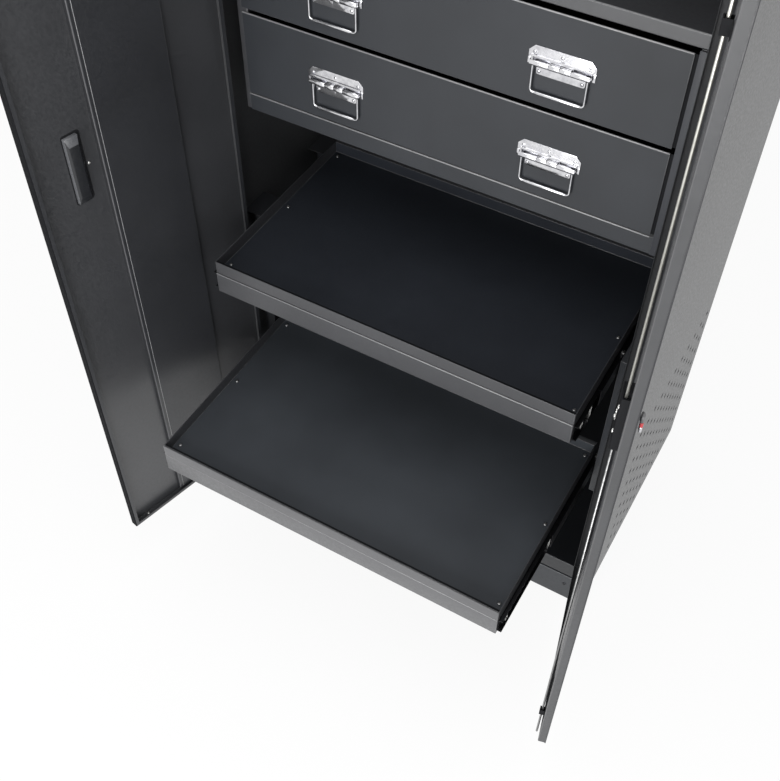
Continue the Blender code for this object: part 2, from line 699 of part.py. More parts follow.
def make_left_door(axis):
    solid = bmesh.new()
    add_door_pan(solid, -1)
    panel = place("left_door_panel", solid, charcoal_coat, axis)

    pull_x = -DOOR_FREE_EDGE - PULL_FROM_FREE_EDGE
    body_x = (pull_x - PULL_WIDTH / 2, pull_x + PULL_WIDTH / 2)
    body_z = (PULL_HEIGHT - PULL_LENGTH / 2, PULL_HEIGHT + PULL_LENGTH / 2)
    opening = bmesh.new()
    through_skin = (FRONT - SHEET, FRONT + 2 * SHEET)
    add_block(opening, shrink(body_x, -SEAT_GAP), through_skin, shrink(body_z, -SEAT_GAP))
    cut(panel, "left_pull_opening", opening, axis)

    solid = bmesh.new()
    add_stiffener(solid, -1)
    place("left_door_stiffener", solid, charcoal_coat, axis)

    # A moulded cup let into the door: fingers go in from outside, and inside it is a low box with sloped ends
    seat = FRONT - SEAT_GAP
    mouth = seat - PULL_FLANGE_THICKNESS
    tail = FRONT + PULL_DEPTH
    hollow_x, hollow_z = shrink(body_x, PULL_WALL), shrink(body_z, PULL_WALL)
    end_x, end_z = shrink(hollow_x, PULL_CHAMFER / 2), shrink(hollow_z, PULL_END_SLOPE)
    flange_x, flange_z = shrink(body_x, -PULL_FLANGE), shrink(body_z, -PULL_FLANGE)
    solid = bmesh.new()
    add_rings(solid, [
        upright_ring(end_x, end_z, tail - PULL_WALL),
        upright_ring(hollow_x, hollow_z, mouth),
        upright_ring(flange_x, flange_z, mouth),
        upright_ring(flange_x, flange_z, seat),
        upright_ring(body_x, body_z, seat),
        upright_ring(body_x, body_z, tail - PULL_CHAMFER),
        upright_ring(shrink(body_x, PULL_CHAMFER), shrink(body_z, PULL_END_SLOPE), tail),
    ])
    place("left_door_pull", solid, black_plastic, axis)


def make_right_door(axis):
    solid = bmesh.new()
    add_door_pan(solid, 1)
    panel = place("right_door_panel", solid, charcoal_coat, axis)
    solid = bmesh.new()
    add_stiffener(solid, 1)
    place("right_door_stiffener", solid, charcoal_coat, axis)

    rod_x = DOOR_FREE_EDGE + ROD_FROM_FREE_EDGE
    rod_y = DOOR_INNER + SEAT_GAP + ROD_RISE + ROD_RADIUS
    case_start = DOOR_FREE_EDGE + DOOR_LIP + SEAT_GAP
    case_x = (case_start, case_start + LOCK_CASE_WIDTH)
    case_y = (FRONT + SHEET + SEAT_GAP, rod_y + ROD_RADIUS + LOCK_CASE_WALL)
    make_lock_case(axis, case_x, case_y, rod_x, rod_y)
    make_lock_handle(axis, panel, case_x, case_y)
    make_rods(axis, rod_x, rod_y)


# The case stands on the skin inside the lip; the rods slide in bores in its ends
def make_lock_case(axis, x, y, rod_x, rod_y):
    z = (LOCK_HEIGHT - LOCK_CASE_LENGTH / 2, LOCK_HEIGHT + LOCK_CASE_LENGTH / 2)
    chamfer = LOCK_CASE_WALL / 2
    solid = bmesh.new()
    add_rings(solid, [
        upright_ring(x, z, y[0]),
        upright_ring(x, z, y[1] - chamfer),
        upright_ring(shrink(x, chamfer), shrink(z, chamfer), y[1]),
    ])
    case = place("lock_case", solid, zinc_plate, axis)
    bore_radius = ROD_RADIUS + ROD_RUNNING_GAP
    depth = ROD_INSERTION + ROD_TRAVEL + ROD_RUNNING_GAP
    for word, end, inward in (("upper", z[1], -1), ("lower", z[0], 1)):
        bore = bmesh.new()
        levels = sorted((end - inward * SHEET, end + inward * depth))
        add_turned(bore, (rod_x, rod_y), [(bore_radius, levels[0]), (bore_radius, levels[1])], "Z")
        cut(case, f"{word}_rod_bore", bore, axis)
    bore = bmesh.new()
    radius = SPINDLE_RADIUS + ROD_RUNNING_GAP
    add_turned(bore, (sum(x) / 2, LOCK_HEIGHT), [(radius, y[0] - SHEET), (radius, y[1] + SHEET)], "Y")
    cut(case, "case_spindle_bore", bore, axis)


# Turn handle outside the door, with its spindle through the skin and the case
def make_lock_handle(axis, panel, case_x, case_y):
    spindle_x = sum(case_x) / 2
    turn_axis = axis_empty("lock_turn_axis", (spindle_x, FRONT, LOCK_HEIGHT), parent=axis)
    bore = bmesh.new()
    radius = SPINDLE_RADIUS + ROD_RUNNING_GAP
    add_turned(bore, (spindle_x, LOCK_HEIGHT), [(radius, FRONT - SHEET), (radius, FRONT + 2 * SHEET)], "Y")
    cut(panel, "door_spindle_bore", bore, axis)

    rose = FRONT - SEAT_GAP - ROSE_THICKNESS
    near = rose - LEVER_STANDOFF
    far = near - LEVER_THICKNESS
    edge = LEVER_THICKNESS * 0.3
    wide, slim = LEVER_WIDTH / 2, LEVER_TIP_WIDTH / 2
    low = LOCK_HEIGHT - LEVER_LENGTH / 2 + slim
    high = LOCK_HEIGHT + LEVER_LENGTH / 2 - wide

    # A short flat grip, a little narrower at its lower end
    def lever_ring(y, inset):
        bottom = arc((spindle_x, low), slim - inset, 180, 180, 6)
        crown = arc((spindle_x, high), wide - inset, 0, 180, 8)
        return [(x, y, z) for x, z in bottom + crown]

    solid = bmesh.new()
    add_rings(solid, [lever_ring(near, edge / 2), lever_ring(near - edge / 2, 0), lever_ring(far + edge, 0),
                      lever_ring(far, edge)])
    lever = place("lock_handle", solid, black_plastic, turn_axis)
    smooth(lever)
    spindle = bmesh.new()
    seat = FRONT - SEAT_GAP
    add_turned(spindle, (spindle_x, LOCK_HEIGHT), [
        (SPINDLE_RADIUS, case_y[1]),
        (SPINDLE_RADIUS, seat),
        (ROSE_RADIUS, seat),
        (ROSE_RADIUS, rose + SHEET),
        (ROSE_RADIUS - SHEET, rose),
        (SPINDLE_RADIUS, rose),
        (SPINDLE_RADIUS, near - LEVER_THICKNESS / 2),
    ], "Y")
    weld(lever, "lock_spindle", spindle, turn_axis)


# Rods at rest drawn in, with their inner ends deep in the case
def make_rods(axis, rod_x, rod_y):
    reach = LOCK_CASE_LENGTH / 2 - ROD_INSERTION - ROD_TRAVEL
    spans = {"upper": (LOCK_HEIGHT + reach, DOOR_TOP - ROD_END_CLEARANCE),
             "lower": (LOCK_HEIGHT - reach, DOOR_BOTTOM + ROD_END_CLEARANCE)}
    guides = {"upper": DOOR_TOP - GUIDE_NEAR_END, "lower": DOOR_BOTTOM + GUIDE_NEAR_END}
    room = ROD_RADIUS + ROD_RUNNING_GAP
    seat = DOOR_INNER + SEAT_GAP
    near, far = rod_x - room - GUIDE_STRAP, rod_x + room + GUIDE_STRAP
    crown = rod_y + room + GUIDE_STRAP
    strap = [(near - GUIDE_FOOT, seat + GUIDE_STRAP), (near, seat + GUIDE_STRAP), (near, crown), (far, crown),
             (far, seat)]
    for word, (inner, outer) in spans.items():
        rod_axis = axis_empty(f"{word}_lock_rod_axis", (rod_x, rod_y, inner), parent=axis)
        nose = math.copysign(ROD_RADIUS, inner - outer)
        solid = bmesh.new()
        add_turned(solid, (rod_x, rod_y), [(ROD_RADIUS, inner), (ROD_RADIUS, outer + nose),
                                           (ROD_RADIUS / 2, outer)], "Z", 12)
        smooth(place(f"{word}_lock_rod", solid, zinc_plate, rod_axis))
        # A strap keeps the rod on the door: a foot on the lip and a loop over the rod
        solid = bmesh.new()
        level = guides[word]
        add_sheet(solid, strap, -GUIDE_STRAP, (level - GUIDE_LENGTH / 2, level + GUIDE_LENGTH / 2), "Z")
        place(f"{word}_rod_guide", solid, zinc_plate, axis)


def main():
    make_carcass()
    for side, word in SIDES:
        make_upright(f"{word}_front_upright", side, SUPPORT_SETBACK)
        make_upright(f"{word}_rear_upright", side, REAR_SUPPORT_SETBACK)
    make_drawer_housing()
    make_tray("lower_tray", LOWER_TRAY_HEIGHT, LOWER_TRAY_PULLED)
    make_tray("upper_tray", UPPER_TRAY_HEIGHT, UPPER_TRAY_PULLED)
    make_drawer("lower_drawer", DRAWER_START)
    make_drawer("upper_drawer", DRAWER_START + DRAWER_PITCH)
    left_axis = axis_empty("left_door_hinge_axis", (-HINGE_X, HINGE_Y, 0), turn_z=-LEFT_DOOR_ANGLE)
    right_axis = axis_empty("right_door_hinge_axis", (HINGE_X, HINGE_Y, 0), turn_z=RIGHT_DOOR_ANGLE)
    make_left_door(left_axis)
    make_right_door(right_axis)
    make_hinge("left", -1, left_axis)
    make_hinge("right", 1, right_axis)


main()
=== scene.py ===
import json
import math
import bmesh
import bpy
from mathutils import Matrix, Vector


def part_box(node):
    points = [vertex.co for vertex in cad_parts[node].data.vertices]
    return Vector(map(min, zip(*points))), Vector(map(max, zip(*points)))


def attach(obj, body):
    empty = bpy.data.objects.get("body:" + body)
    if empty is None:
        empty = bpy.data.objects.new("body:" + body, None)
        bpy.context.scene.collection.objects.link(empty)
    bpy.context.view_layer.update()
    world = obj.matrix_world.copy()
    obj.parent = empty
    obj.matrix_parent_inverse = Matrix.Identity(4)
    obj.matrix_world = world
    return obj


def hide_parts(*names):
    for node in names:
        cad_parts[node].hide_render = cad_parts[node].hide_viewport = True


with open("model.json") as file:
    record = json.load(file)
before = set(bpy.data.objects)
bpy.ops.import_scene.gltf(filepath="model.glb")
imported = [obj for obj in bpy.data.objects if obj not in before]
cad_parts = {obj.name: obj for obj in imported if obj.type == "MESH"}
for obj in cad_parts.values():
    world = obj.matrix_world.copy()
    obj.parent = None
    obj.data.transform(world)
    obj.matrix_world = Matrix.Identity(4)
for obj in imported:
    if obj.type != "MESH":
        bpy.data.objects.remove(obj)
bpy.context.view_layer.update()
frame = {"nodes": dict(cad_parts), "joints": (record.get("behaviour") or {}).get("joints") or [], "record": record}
nodes = frame["nodes"]
bodyOfNode = {n: b for b, members in frame["record"]["behaviour"]["bodies"].items() for n in members}
jointAt = {j["name"]: j for j in frame["joints"]}
print("frame loaded:", len(nodes), "nodes")


# shared words and measures, then hands for selecting, editing and settling pieces

trays = ("lower_tray", "upper_tray")
drawers = ("lower_drawer", "upper_drawer")
bothSides = ((-1, "left"), (1, "right"))
alongX = (0, math.radians(90), 0)
mergeGap = 0.00001
squareOn = 0.9  # a face or an edge looks along an axis from here up
beadEase = 0.4


def leaveEdit():
    bpy.ops.object.mode_set(mode="OBJECT")


def restHands():
    if bpy.context.mode != "OBJECT":
        leaveEdit()
    bpy.ops.object.select_all(action="DESELECT")


def takeUp(piece):
    restHands()
    piece.select_set(True)
    bpy.context.view_layer.objects.active = piece


def editAll(piece):
    takeUp(piece)
    bpy.ops.object.mode_set(mode="EDIT")
    bpy.ops.mesh.select_all(action="SELECT")


def nameIt(name):
    piece = bpy.context.active_object
    piece.name = name
    piece.data.name = name
    return piece


def clearPicks(piece):
    takeUp(piece)
    mesh = piece.data
    for part in (mesh.vertices, mesh.edges, mesh.polygons):
        part.foreach_set("select", [False] * len(part))
    return mesh


def pickFaces(piece, test):
    for face in clearPicks(piece).polygons:
        face.select = test(face)
    bpy.ops.object.mode_set(mode="EDIT")
    bpy.ops.mesh.select_mode(type="FACE")


def pickEdges(piece, test):
    mesh = clearPicks(piece)
    for edge in mesh.edges:
        ends = [mesh.vertices[i].co for i in edge.vertices]
        edge.select = test((ends[0] + ends[1]) / 2, (ends[1] - ends[0]).normalized())
    bpy.ops.object.mode_set(mode="EDIT")
    bpy.ops.mesh.select_mode(type="EDGE")


def push(x=0, y=0, z=0):
    bpy.ops.mesh.extrude_region_move(TRANSFORM_OT_translate={"value": (x, y, z)})


def pushFaces(piece, test, way):
    pickFaces(piece, test)
    push(*way)
    leaveEdit()


# the corners of an upright plate, or only those above a height
def roundCorners(piece, offset, segments=4, above=-math.inf):
    pickEdges(piece, lambda mid, way: abs(way.y) > squareOn and mid.z > above)
    bpy.ops.mesh.bevel(offset=offset, segments=segments)
    leaveEdit()


def bisectAt(piece, spots, way=(1, 0, 0)):
    takeUp(piece)
    bpy.ops.object.mode_set(mode="EDIT")
    for spot in spots:
        bpy.ops.mesh.select_all(action="SELECT")
        bpy.ops.mesh.bisect(plane_co=Vector(way) * spot, plane_no=way)
    leaveEdit()


def settle(piece):
    takeUp(piece)
    bpy.ops.object.transform_apply(location=True, rotation=True, scale=True)


def smoothOff(piece, angle=40):
    takeUp(piece)
    bpy.ops.object.shade_smooth_by_angle(angle=math.radians(angle))


def easeEdges(piece, width, segments=2, angle=30, smooth=40):
    takeUp(piece)
    step = piece.modifiers.new("edges", "BEVEL")
    step.width = width
    step.segments = segments
    step.limit_method = "ANGLE"
    step.angle_limit = math.radians(angle)
    bpy.ops.object.modifier_apply(modifier=step.name)
    smoothOff(piece, smooth)


def dress(piece, material):
    piece.data.materials.clear()
    piece.data.materials.append(material)


def seat(piece, body, material):
    dress(piece, material)
    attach(piece, body)


def copyTo(piece, name, move):
    twin = piece.copy()
    twin.data = piece.data.copy()
    twin.name = name
    twin.data.name = name
    bpy.context.scene.collection.objects.link(twin)
    twin.data.transform(move)
    return twin


def putAway(piece):
    bpy.data.objects.remove(piece, do_unlink=True)


def startBlock(name, low, high):
    restHands()
    low, high = Vector(low), Vector(high)
    bpy.ops.mesh.primitive_cube_add(size=1, location=(low + high) / 2)
    piece = nameIt(name)
    piece.scale = high - low
    settle(piece)
    return piece


def startDrum(name, radius, depth, place, sides=16, turn=(0, 0, 0)):
    restHands()
    bpy.ops.mesh.primitive_cylinder_add(vertices=sides, radius=radius, depth=depth,
                                        location=place, rotation=turn)
    piece = nameIt(name)
    settle(piece)
    return piece


# a round bead along X, from span[0] to span[1]
def layBead(name, radius, span, y, z, body, material, sides=10, edge=None):
    middle = ((span[0] + span[1]) / 2, y, z)
    bead = startDrum(name, radius, span[1] - span[0], middle, sides, alongX)
    easeEdges(bead, edge or radius * beadEase, angle=60, smooth=50)
    seat(bead, body, material)


# doors stand open: what rides on them is drawn shut and then carried round the hinge
doorSwing = {"left": -103.5, "right": 103.8}
doorMove = {}
for side, degrees in doorSwing.items():
    hinge = Matrix.Translation(Vector(jointAt[side + "_door_hinge"]["pos_m"]))
    doorMove[side] = hinge @ Matrix.Rotation(math.radians(degrees), 4, "Z") @ hinge.inverted()


def shutBox(node, side):
    back = doorMove[side].inverted()
    points = [back @ v.co for v in nodes[node].data.vertices]
    return (Vector([min(p[i] for p in points) for i in range(3)]),
            Vector([max(p[i] for p in points) for i in range(3)]))


# finishes

def addNode(tree, kind, place, **values):
    node = tree.nodes.new(kind)
    node.location = place
    for key, value in values.items():
        if hasattr(node, key):
            setattr(node, key, value)
        else:
            node.inputs[key].default_value = value
    return node


def makeGroup(name, inputs, outputs):
    group = bpy.data.node_groups.new(name, "ShaderNodeTree")
    for label, kind, value in inputs:
        socket = group.interface.new_socket(name=label, in_out="INPUT", socket_type=kind)
        socket.default_value = value
    for label, kind in outputs:
        group.interface.new_socket(name=label, in_out="OUTPUT", socket_type=kind)
    return group


# sprayed and baked paint: orange peel, cloudy tone, a little dust, and edges lightened as rubbed wear and as
# painted highlight
def makeCoatGroup():
    group = makeGroup("bakedCoat", [
        ("Tint", "NodeSocketColor", (0.04, 0.04, 0.04, 1)),
        ("Rubbed", "NodeSocketColor", (0.1, 0.1, 0.1, 1)),
        ("Rub Amount", "NodeSocketFloat", 0.5),
        ("Gloss Low", "NodeSocketFloat", 0.3),
        ("Gloss High", "NodeSocketFloat", 0.5),
    ], [("Color", "NodeSocketColor"), ("Roughness", "NodeSocketFloat"), ("Height", "NodeSocketFloat")])
    link = group.links.new
    enter = addNode(group, "NodeGroupInput", (-900, 0))
    leave = addNode(group, "NodeGroupOutput", (700, 0))
    coords = addNode(group, "ShaderNodeTexCoord", (-900, -300))
    peel = addNode(group, "ShaderNodeTexNoise", (-650, -300), Scale=900.0, Detail=2.0, Roughness=0.5)
    cloud = addNode(group, "ShaderNodeTexNoise", (-650, 100), Scale=5.0, Detail=3.0, Roughness=0.55)
    speck = addNode(group, "ShaderNodeTexNoise", (-650, -100), Scale=160.0, Detail=4.0, Roughness=0.7)
    for texture in (peel, cloud, speck):
        link(coords.outputs["Object"], texture.inputs["Vector"])
    # convex edges, found by pointiness, are mixed towards the lighter rubbed colour: rubbed wear, and a painted
    # highlight on the bends
    shape = addNode(group, "ShaderNodeNewGeometry", (-650, 350))
    edge = addNode(group, "ShaderNodeMapRange", (-400, 350))
    edge.inputs["From Min"].default_value = 0.515
    edge.inputs["From Max"].default_value = 0.60
    link(shape.outputs["Pointiness"], edge.inputs["Value"])
    rubAndHighlight = addNode(group, "ShaderNodeMath", (-200, 350), operation="MULTIPLY")
    link(edge.outputs["Result"], rubAndHighlight.inputs[0])
    link(enter.outputs["Rub Amount"], rubAndHighlight.inputs[1])
    tone = addNode(group, "ShaderNodeMapRange", (-400, 100))
    tone.inputs["From Min"].default_value = 0.3
    tone.inputs["From Max"].default_value = 0.7
    tone.inputs["To Min"].default_value = 0.86
    tone.inputs["To Max"].default_value = 1.14
    link(cloud.outputs["Fac"], tone.inputs["Value"])
    toned = addNode(group, "ShaderNodeMix", (-150, 100), data_type="RGBA", blend_type="MULTIPLY")
    toned.inputs[0].default_value = 1.0
    link(enter.outputs["Tint"], toned.inputs[6])
    link(tone.outputs["Result"], toned.inputs[7])
    level = addNode(group, "ShaderNodeAttribute", (-650, 600), attribute_name="levelFace")
    bent = addNode(group, "ShaderNodeMath", (-400, 600), operation="SUBTRACT")
    bent.inputs[0].default_value = 1.0
    link(level.outputs["Fac"], bent.inputs[1])
    bentRubAndHighlight = addNode(group, "ShaderNodeMath", (-50, 450), operation="MULTIPLY")
    link(rubAndHighlight.outputs[0], bentRubAndHighlight.inputs[0])
    link(bent.outputs[0], bentRubAndHighlight.inputs[1])
    wornAndHighlit = addNode(group, "ShaderNodeMix", (100, 200), data_type="RGBA")
    link(bentRubAndHighlight.outputs[0], wornAndHighlit.inputs[0])
    link(toned.outputs[2], wornAndHighlit.inputs[6])
    link(enter.outputs["Rubbed"], wornAndHighlit.inputs[7])
    link(wornAndHighlit.outputs[2], leave.inputs["Color"])
    gloss = addNode(group, "ShaderNodeMapRange", (100, -100))
    gloss.inputs["From Min"].default_value = 0.35
    gloss.inputs["From Max"].default_value = 0.65
    link(speck.outputs["Fac"], gloss.inputs["Value"])
    link(enter.outputs["Gloss Low"], gloss.inputs["To Min"])
    link(enter.outputs["Gloss High"], gloss.inputs["To Max"])
    link(gloss.outputs["Result"], leave.inputs["Roughness"])
    link(peel.outputs["Fac"], leave.inputs["Height"])
    return group


# plated metal: fine drawn lines along one way, cloudy plating, dull rubbed spots
def makePlateGroup():
    group = makeGroup("platedMetal", [
        ("Tint", "NodeSocketColor", (0.6, 0.6, 0.6, 1)),
        ("Dull", "NodeSocketColor", (0.4, 0.4, 0.4, 1)),
        ("Gloss Low", "NodeSocketFloat", 0.15),
        ("Gloss High", "NodeSocketFloat", 0.35),
    ], [("Color", "NodeSocketColor"), ("Roughness", "NodeSocketFloat"), ("Height", "NodeSocketFloat")])
    link = group.links.new
    enter = addNode(group, "NodeGroupInput", (-900, 0))
    leave = addNode(group, "NodeGroupOutput", (600, 0))
    coords = addNode(group, "ShaderNodeTexCoord", (-900, -300))
    stretch = addNode(group, "ShaderNodeMapping", (-750, -300))
    stretch.inputs["Scale"].default_value = (1.0, 1.0, 0.08)
    link(coords.outputs["Object"], stretch.inputs["Vector"])
    lines = addNode(group, "ShaderNodeTexNoise", (-550, -300), Scale=1600.0, Detail=3.0)
    link(stretch.outputs["Vector"], lines.inputs["Vector"])
    cloud = addNode(group, "ShaderNodeTexNoise", (-550, 0), Scale=90.0, Detail=4.0)
    link(coords.outputs["Object"], cloud.inputs["Vector"])
    mask = addNode(group, "ShaderNodeMapRange", (-300, 0))
    mask.inputs["From Min"].default_value = 0.4
    mask.inputs["From Max"].default_value = 0.75
    link(cloud.outputs["Fac"], mask.inputs["Value"])
    mixed = addNode(group, "ShaderNodeMix", (0, 150), data_type="RGBA")
    link(mask.outputs["Result"], mixed.inputs[0])
    link(enter.outputs["Tint"], mixed.inputs[6])
    link(enter.outputs["Dull"], mixed.inputs[7])
    link(mixed.outputs[2], leave.inputs["Color"])
    gloss = addNode(group, "ShaderNodeMapRange", (0, -100))
    link(cloud.outputs["Fac"], gloss.inputs["Value"])
    link(enter.outputs["Gloss Low"], gloss.inputs["To Min"])
    link(enter.outputs["Gloss High"], gloss.inputs["To Max"])
    link(gloss.outputs["Result"], leave.inputs["Roughness"])
    link(lines.outputs["Fac"], leave.inputs["Height"])
    return group


coatGroup = makeCoatGroup()
plateGroup = makePlateGroup()


def makeFinish(name, group, colours, values, shader, bump):
    finish = bpy.data.materials.new(name)
    finish.use_nodes = True
    tree = finish.node_tree
    surface = tree.nodes["Principled BSDF"]
    surface.location = (300, 0)
    detail = addNode(tree, "ShaderNodeGroup", (-200, 0), node_tree=group)
    for label, colour in colours.items():
        detail.inputs[label].default_value = (*colour, 1)
    for label, value in values.items():
        detail.inputs[label].default_value = value
    for label, value in shader.items():
        surface.inputs[label].default_value = value
    relief = addNode(tree, "ShaderNodeBump", (50, -250), Strength=bump[0], Distance=bump[1])
    tree.links.new(detail.outputs["Color"], surface.inputs["Base Color"])
    tree.links.new(detail.outputs["Roughness"], surface.inputs["Roughness"])
    tree.links.new(detail.outputs["Height"], relief.inputs["Height"])
    tree.links.new(relief.outputs["Normal"], surface.inputs["Normal"])
    return finish


charcoalCoat = makeFinish("charcoalCoat", coatGroup,
                          {"Tint": (0.036, 0.037, 0.041), "Rubbed": (0.20, 0.20, 0.205)},
                          {"Rub Amount": 0.35, "Gloss Low": 0.34, "Gloss High": 0.48},
                          {"IOR": 1.75}, (0.10, 0.0004))
sideCoat = makeFinish("sideCoat", coatGroup,
                      {"Tint": (0.038, 0.039, 0.041), "Rubbed": (0.20, 0.20, 0.205)},
                      {"Rub Amount": 0.35, "Gloss Low": 0.34, "Gloss High": 0.48},
                      {"IOR": 1.62}, (0.10, 0.0004))
doorCoat = makeFinish("doorCoat", coatGroup,
                      {"Tint": (0.030, 0.031, 0.034), "Rubbed": (0.18, 0.18, 0.185)},
                      {"Rub Amount": 0.35, "Gloss Low": 0.30, "Gloss High": 0.46},
                      {"IOR": 1.7}, (0.10, 0.0004))
# painted shade: a darker, bluish copy of the coat for the upper tray's floor and back wall
trayCoat = makeFinish("trayCoat", coatGroup,
                      {"Tint": (0.0210, 0.0240, 0.0305), "Rubbed": (0.12, 0.12, 0.125)},
                      {"Rub Amount": 0.3, "Gloss Low": 0.38, "Gloss High": 0.52},
                      {"IOR": 1.38}, (0.12, 0.0004))
# painted light: the lower tray's copy is lighter, as more light reaches the lower tray's floor
lowerTrayCoat = makeFinish("lowerTrayCoat", coatGroup,
                           {"Tint": (0.0450, 0.0500, 0.0575), "Rubbed": (0.12, 0.12, 0.125)},
                           {"Rub Amount": 0.3, "Gloss Low": 0.38, "Gloss High": 0.52},
                           {"IOR": 1.38}, (0.12, 0.0004))
# the stiffeners' coat, a darker copy of the door coat; it also paints shade on the left door's lips
stiffenerCoat = makeFinish("stiffenerCoat", coatGroup,
                           {"Tint": (0.021, 0.022, 0.025), "Rubbed": (0.18, 0.18, 0.185)},
                           {"Rub Amount": 0.35, "Gloss Low": 0.30, "Gloss High": 0.46},
                           {"IOR": 1.6}, (0.10, 0.0004))
# painted shade: a darker copy of the charcoal coat for the drawer fronts, rail, plinth, uprights and tray hems
drawerCoat = makeFinish("drawerCoat", coatGroup,
                        {"Tint": (0.024, 0.0265, 0.0310), "Rubbed": (0.20, 0.20, 0.205)},
                        {"Rub Amount": 0.35, "Gloss Low": 0.32, "Gloss High": 0.46},
                        {"IOR": 1.45}, (0.10, 0.0004))
# painted highlight: a light coat for the beads and ribs that show as bright lines
edgeCoat = makeFinish("edgeCoat", coatGroup,
                      {"Tint": (0.11, 0.11, 0.115), "Rubbed": (0.30, 0.30, 0.305)},
                      {"Rub Amount": 0.6, "Gloss Low": 0.26, "Gloss High": 0.40},
                      {"IOR": 1.75}, (0.08, 0.0003))
# painted light: a lighter coat for the lit faces of the left door pull
satinRim = makeFinish("satinRim", coatGroup,
                      {"Tint": (0.085, 0.088, 0.095), "Rubbed": (0.22, 0.22, 0.23)},
                      {"Rub Amount": 0.6, "Gloss Low": 0.24, "Gloss High": 0.38},
                      {"IOR": 1.6}, (0.15, 0.0004))
# black moulding of the pull; the same black is painted shade on the floor pan, the left front upright, the right
# door's hinge side and its free-edge seam
blackMoulding = makeFinish("blackMoulding", coatGroup,
                           {"Tint": (0.010, 0.011, 0.013), "Rubbed": (0.04, 0.04, 0.045)},
                           {"Rub Amount": 0.4, "Gloss Low": 0.30, "Gloss High": 0.46},
                           {"IOR": 1.5}, (0.25, 0.0004))
# matt black of the lock case and rod guides; the same black is painted shade on the tray front strips, the drawer
# end strips, the pull surround and the left door's free edge
mattBlack = makeFinish("mattBlack", coatGroup,
                       {"Tint": (0.006, 0.0065, 0.0075), "Rubbed": (0.03, 0.03, 0.032)},
                       {"Rub Amount": 0.4, "Gloss Low": 0.45, "Gloss High": 0.62},
                       {"IOR": 1.14, "Specular IOR Level": 0.2}, (0.2, 0.0004))
brightZinc = makeFinish("brightZinc", plateGroup,
                        {"Tint": (0.62, 0.615, 0.60), "Dull": (0.40, 0.40, 0.39)},
                        {"Gloss Low": 0.16, "Gloss High": 0.38}, {"Metallic": 1.0}, (0.06, 0.0003))
# dull zinc of the tray screws; the same dull zinc is painted shade on the lower lock rod
dullZinc = makeFinish("dullZinc", plateGroup,
                      {"Tint": (0.30, 0.30, 0.30), "Dull": (0.20, 0.20, 0.20)},
                      {"Gloss Low": 0.25, "Gloss High": 0.45}, {"Metallic": 1.0}, (0.06, 0.0003))
rodZinc = makeFinish("rodZinc", plateGroup,
                     {"Tint": (0.74, 0.73, 0.68), "Dull": (0.56, 0.55, 0.51)},
                     {"Gloss Low": 0.36, "Gloss High": 0.56}, {"Metallic": 1.0}, (0.06, 0.0003))
# black zinc of the runners and plinth screws; the same dark zinc is painted shade on the left runner catches
blackZinc = makeFinish("blackZinc", plateGroup,
                       {"Tint": (0.055, 0.055, 0.060), "Dull": (0.035, 0.035, 0.038)},
                       {"Gloss Low": 0.22, "Gloss High": 0.42}, {"Metallic": 1.0}, (0.08, 0.0003))
brightChrome = makeFinish("brightChrome", plateGroup,
                          {"Tint": (0.72, 0.72, 0.74), "Dull": (0.50, 0.50, 0.53)},
                          {"Gloss Low": 0.06, "Gloss High": 0.22}, {"Metallic": 1.0}, (0.03, 0.0002))
redEnamel = makeFinish("redEnamel", coatGroup,
                       {"Tint": (0.50, 0.02, 0.03), "Rubbed": (0.60, 0.15, 0.15)},
                       {"Rub Amount": 0.3, "Gloss Low": 0.20, "Gloss High": 0.35}, {}, (0.05, 0.0002))
print("finishes mixed")


# folded sheet: a merged copy of a node, with round bends and eased rims

foldedSheet = {"bend": 0.0022, "innerBend": 0.30, "rim": 0.20, "thin": 0.004, "shortest": 0.013,
               "segments": 3, "crease": 30, "coplanar": 0.5, "flat": 0.004, "level": 0.99998}


def mergedCopy(node, prefix):
    twin = bpy.data.objects.new(prefix + node, nodes[node].data.copy())
    bpy.context.scene.collection.objects.link(twin)
    editAll(twin)
    bpy.ops.mesh.remove_doubles(threshold=mergeGap)
    leaveEdit()
    return twin


def standIn(twin, node, material):
    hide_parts(node)
    seat(twin, bodyOfNode[node], material)
    return twin


def markFolds(mesh, cut):
    work = bmesh.new()
    work.from_mesh(mesh)
    weight = work.edges.layers.float.new("bevel_weight_edge")

    def across(face):
        return face.calc_area() / (face.calc_perimeter() / 2)

    for edge in work.edges:
        if len(edge.link_faces) != 2 or edge.calc_length() < cut["shortest"]:
            continue
        if edge.calc_face_angle(0) < math.radians(cut["crease"]):
            continue
        if min(across(f) for f in edge.link_faces) > cut["thin"]:
            edge[weight] = 1.0 if edge.is_convex else cut["innerBend"]
        else:
            edge[weight] = cut["rim"]
    work.to_mesh(mesh)
    work.free()


# flats stay truly flat, with neither rubbed wear nor painted highlight, slivers between holes too
def markLevel(mesh, cut):
    broad = [face.normal.copy() for face in mesh.polygons if face.area > cut["flat"]]
    level = mesh.attributes.new("levelFace", "FLOAT", "FACE")
    for face in mesh.polygons:
        if any(face.normal.dot(way) > cut["level"] for way in broad):
            face.use_smooth = False
            level.data[face.index].value = 1.0


def foldedCopy(node, material, cut=foldedSheet):
    twin = mergedCopy(node, "folded_")
    editAll(twin)
    bpy.ops.mesh.dissolve_limited(angle_limit=math.radians(cut["coplanar"]))
    leaveEdit()
    bpy.ops.object.shade_smooth()
    markFolds(twin.data, cut)
    step = twin.modifiers.new("bends", "BEVEL")
    step.limit_method = "WEIGHT"
    step.width = cut["bend"]
    step.segments = cut["segments"]
    step.use_clamp_overlap = True
    bpy.ops.object.modifier_apply(modifier=step.name)
    smoothOff(twin)
    markLevel(twin.data, cut)
    step = twin.modifiers.new("flats", "WEIGHTED_NORMAL")
    step.keep_sharp = True
    bpy.ops.object.modifier_apply(modifier=step.name)
    return standIn(twin, node, material)


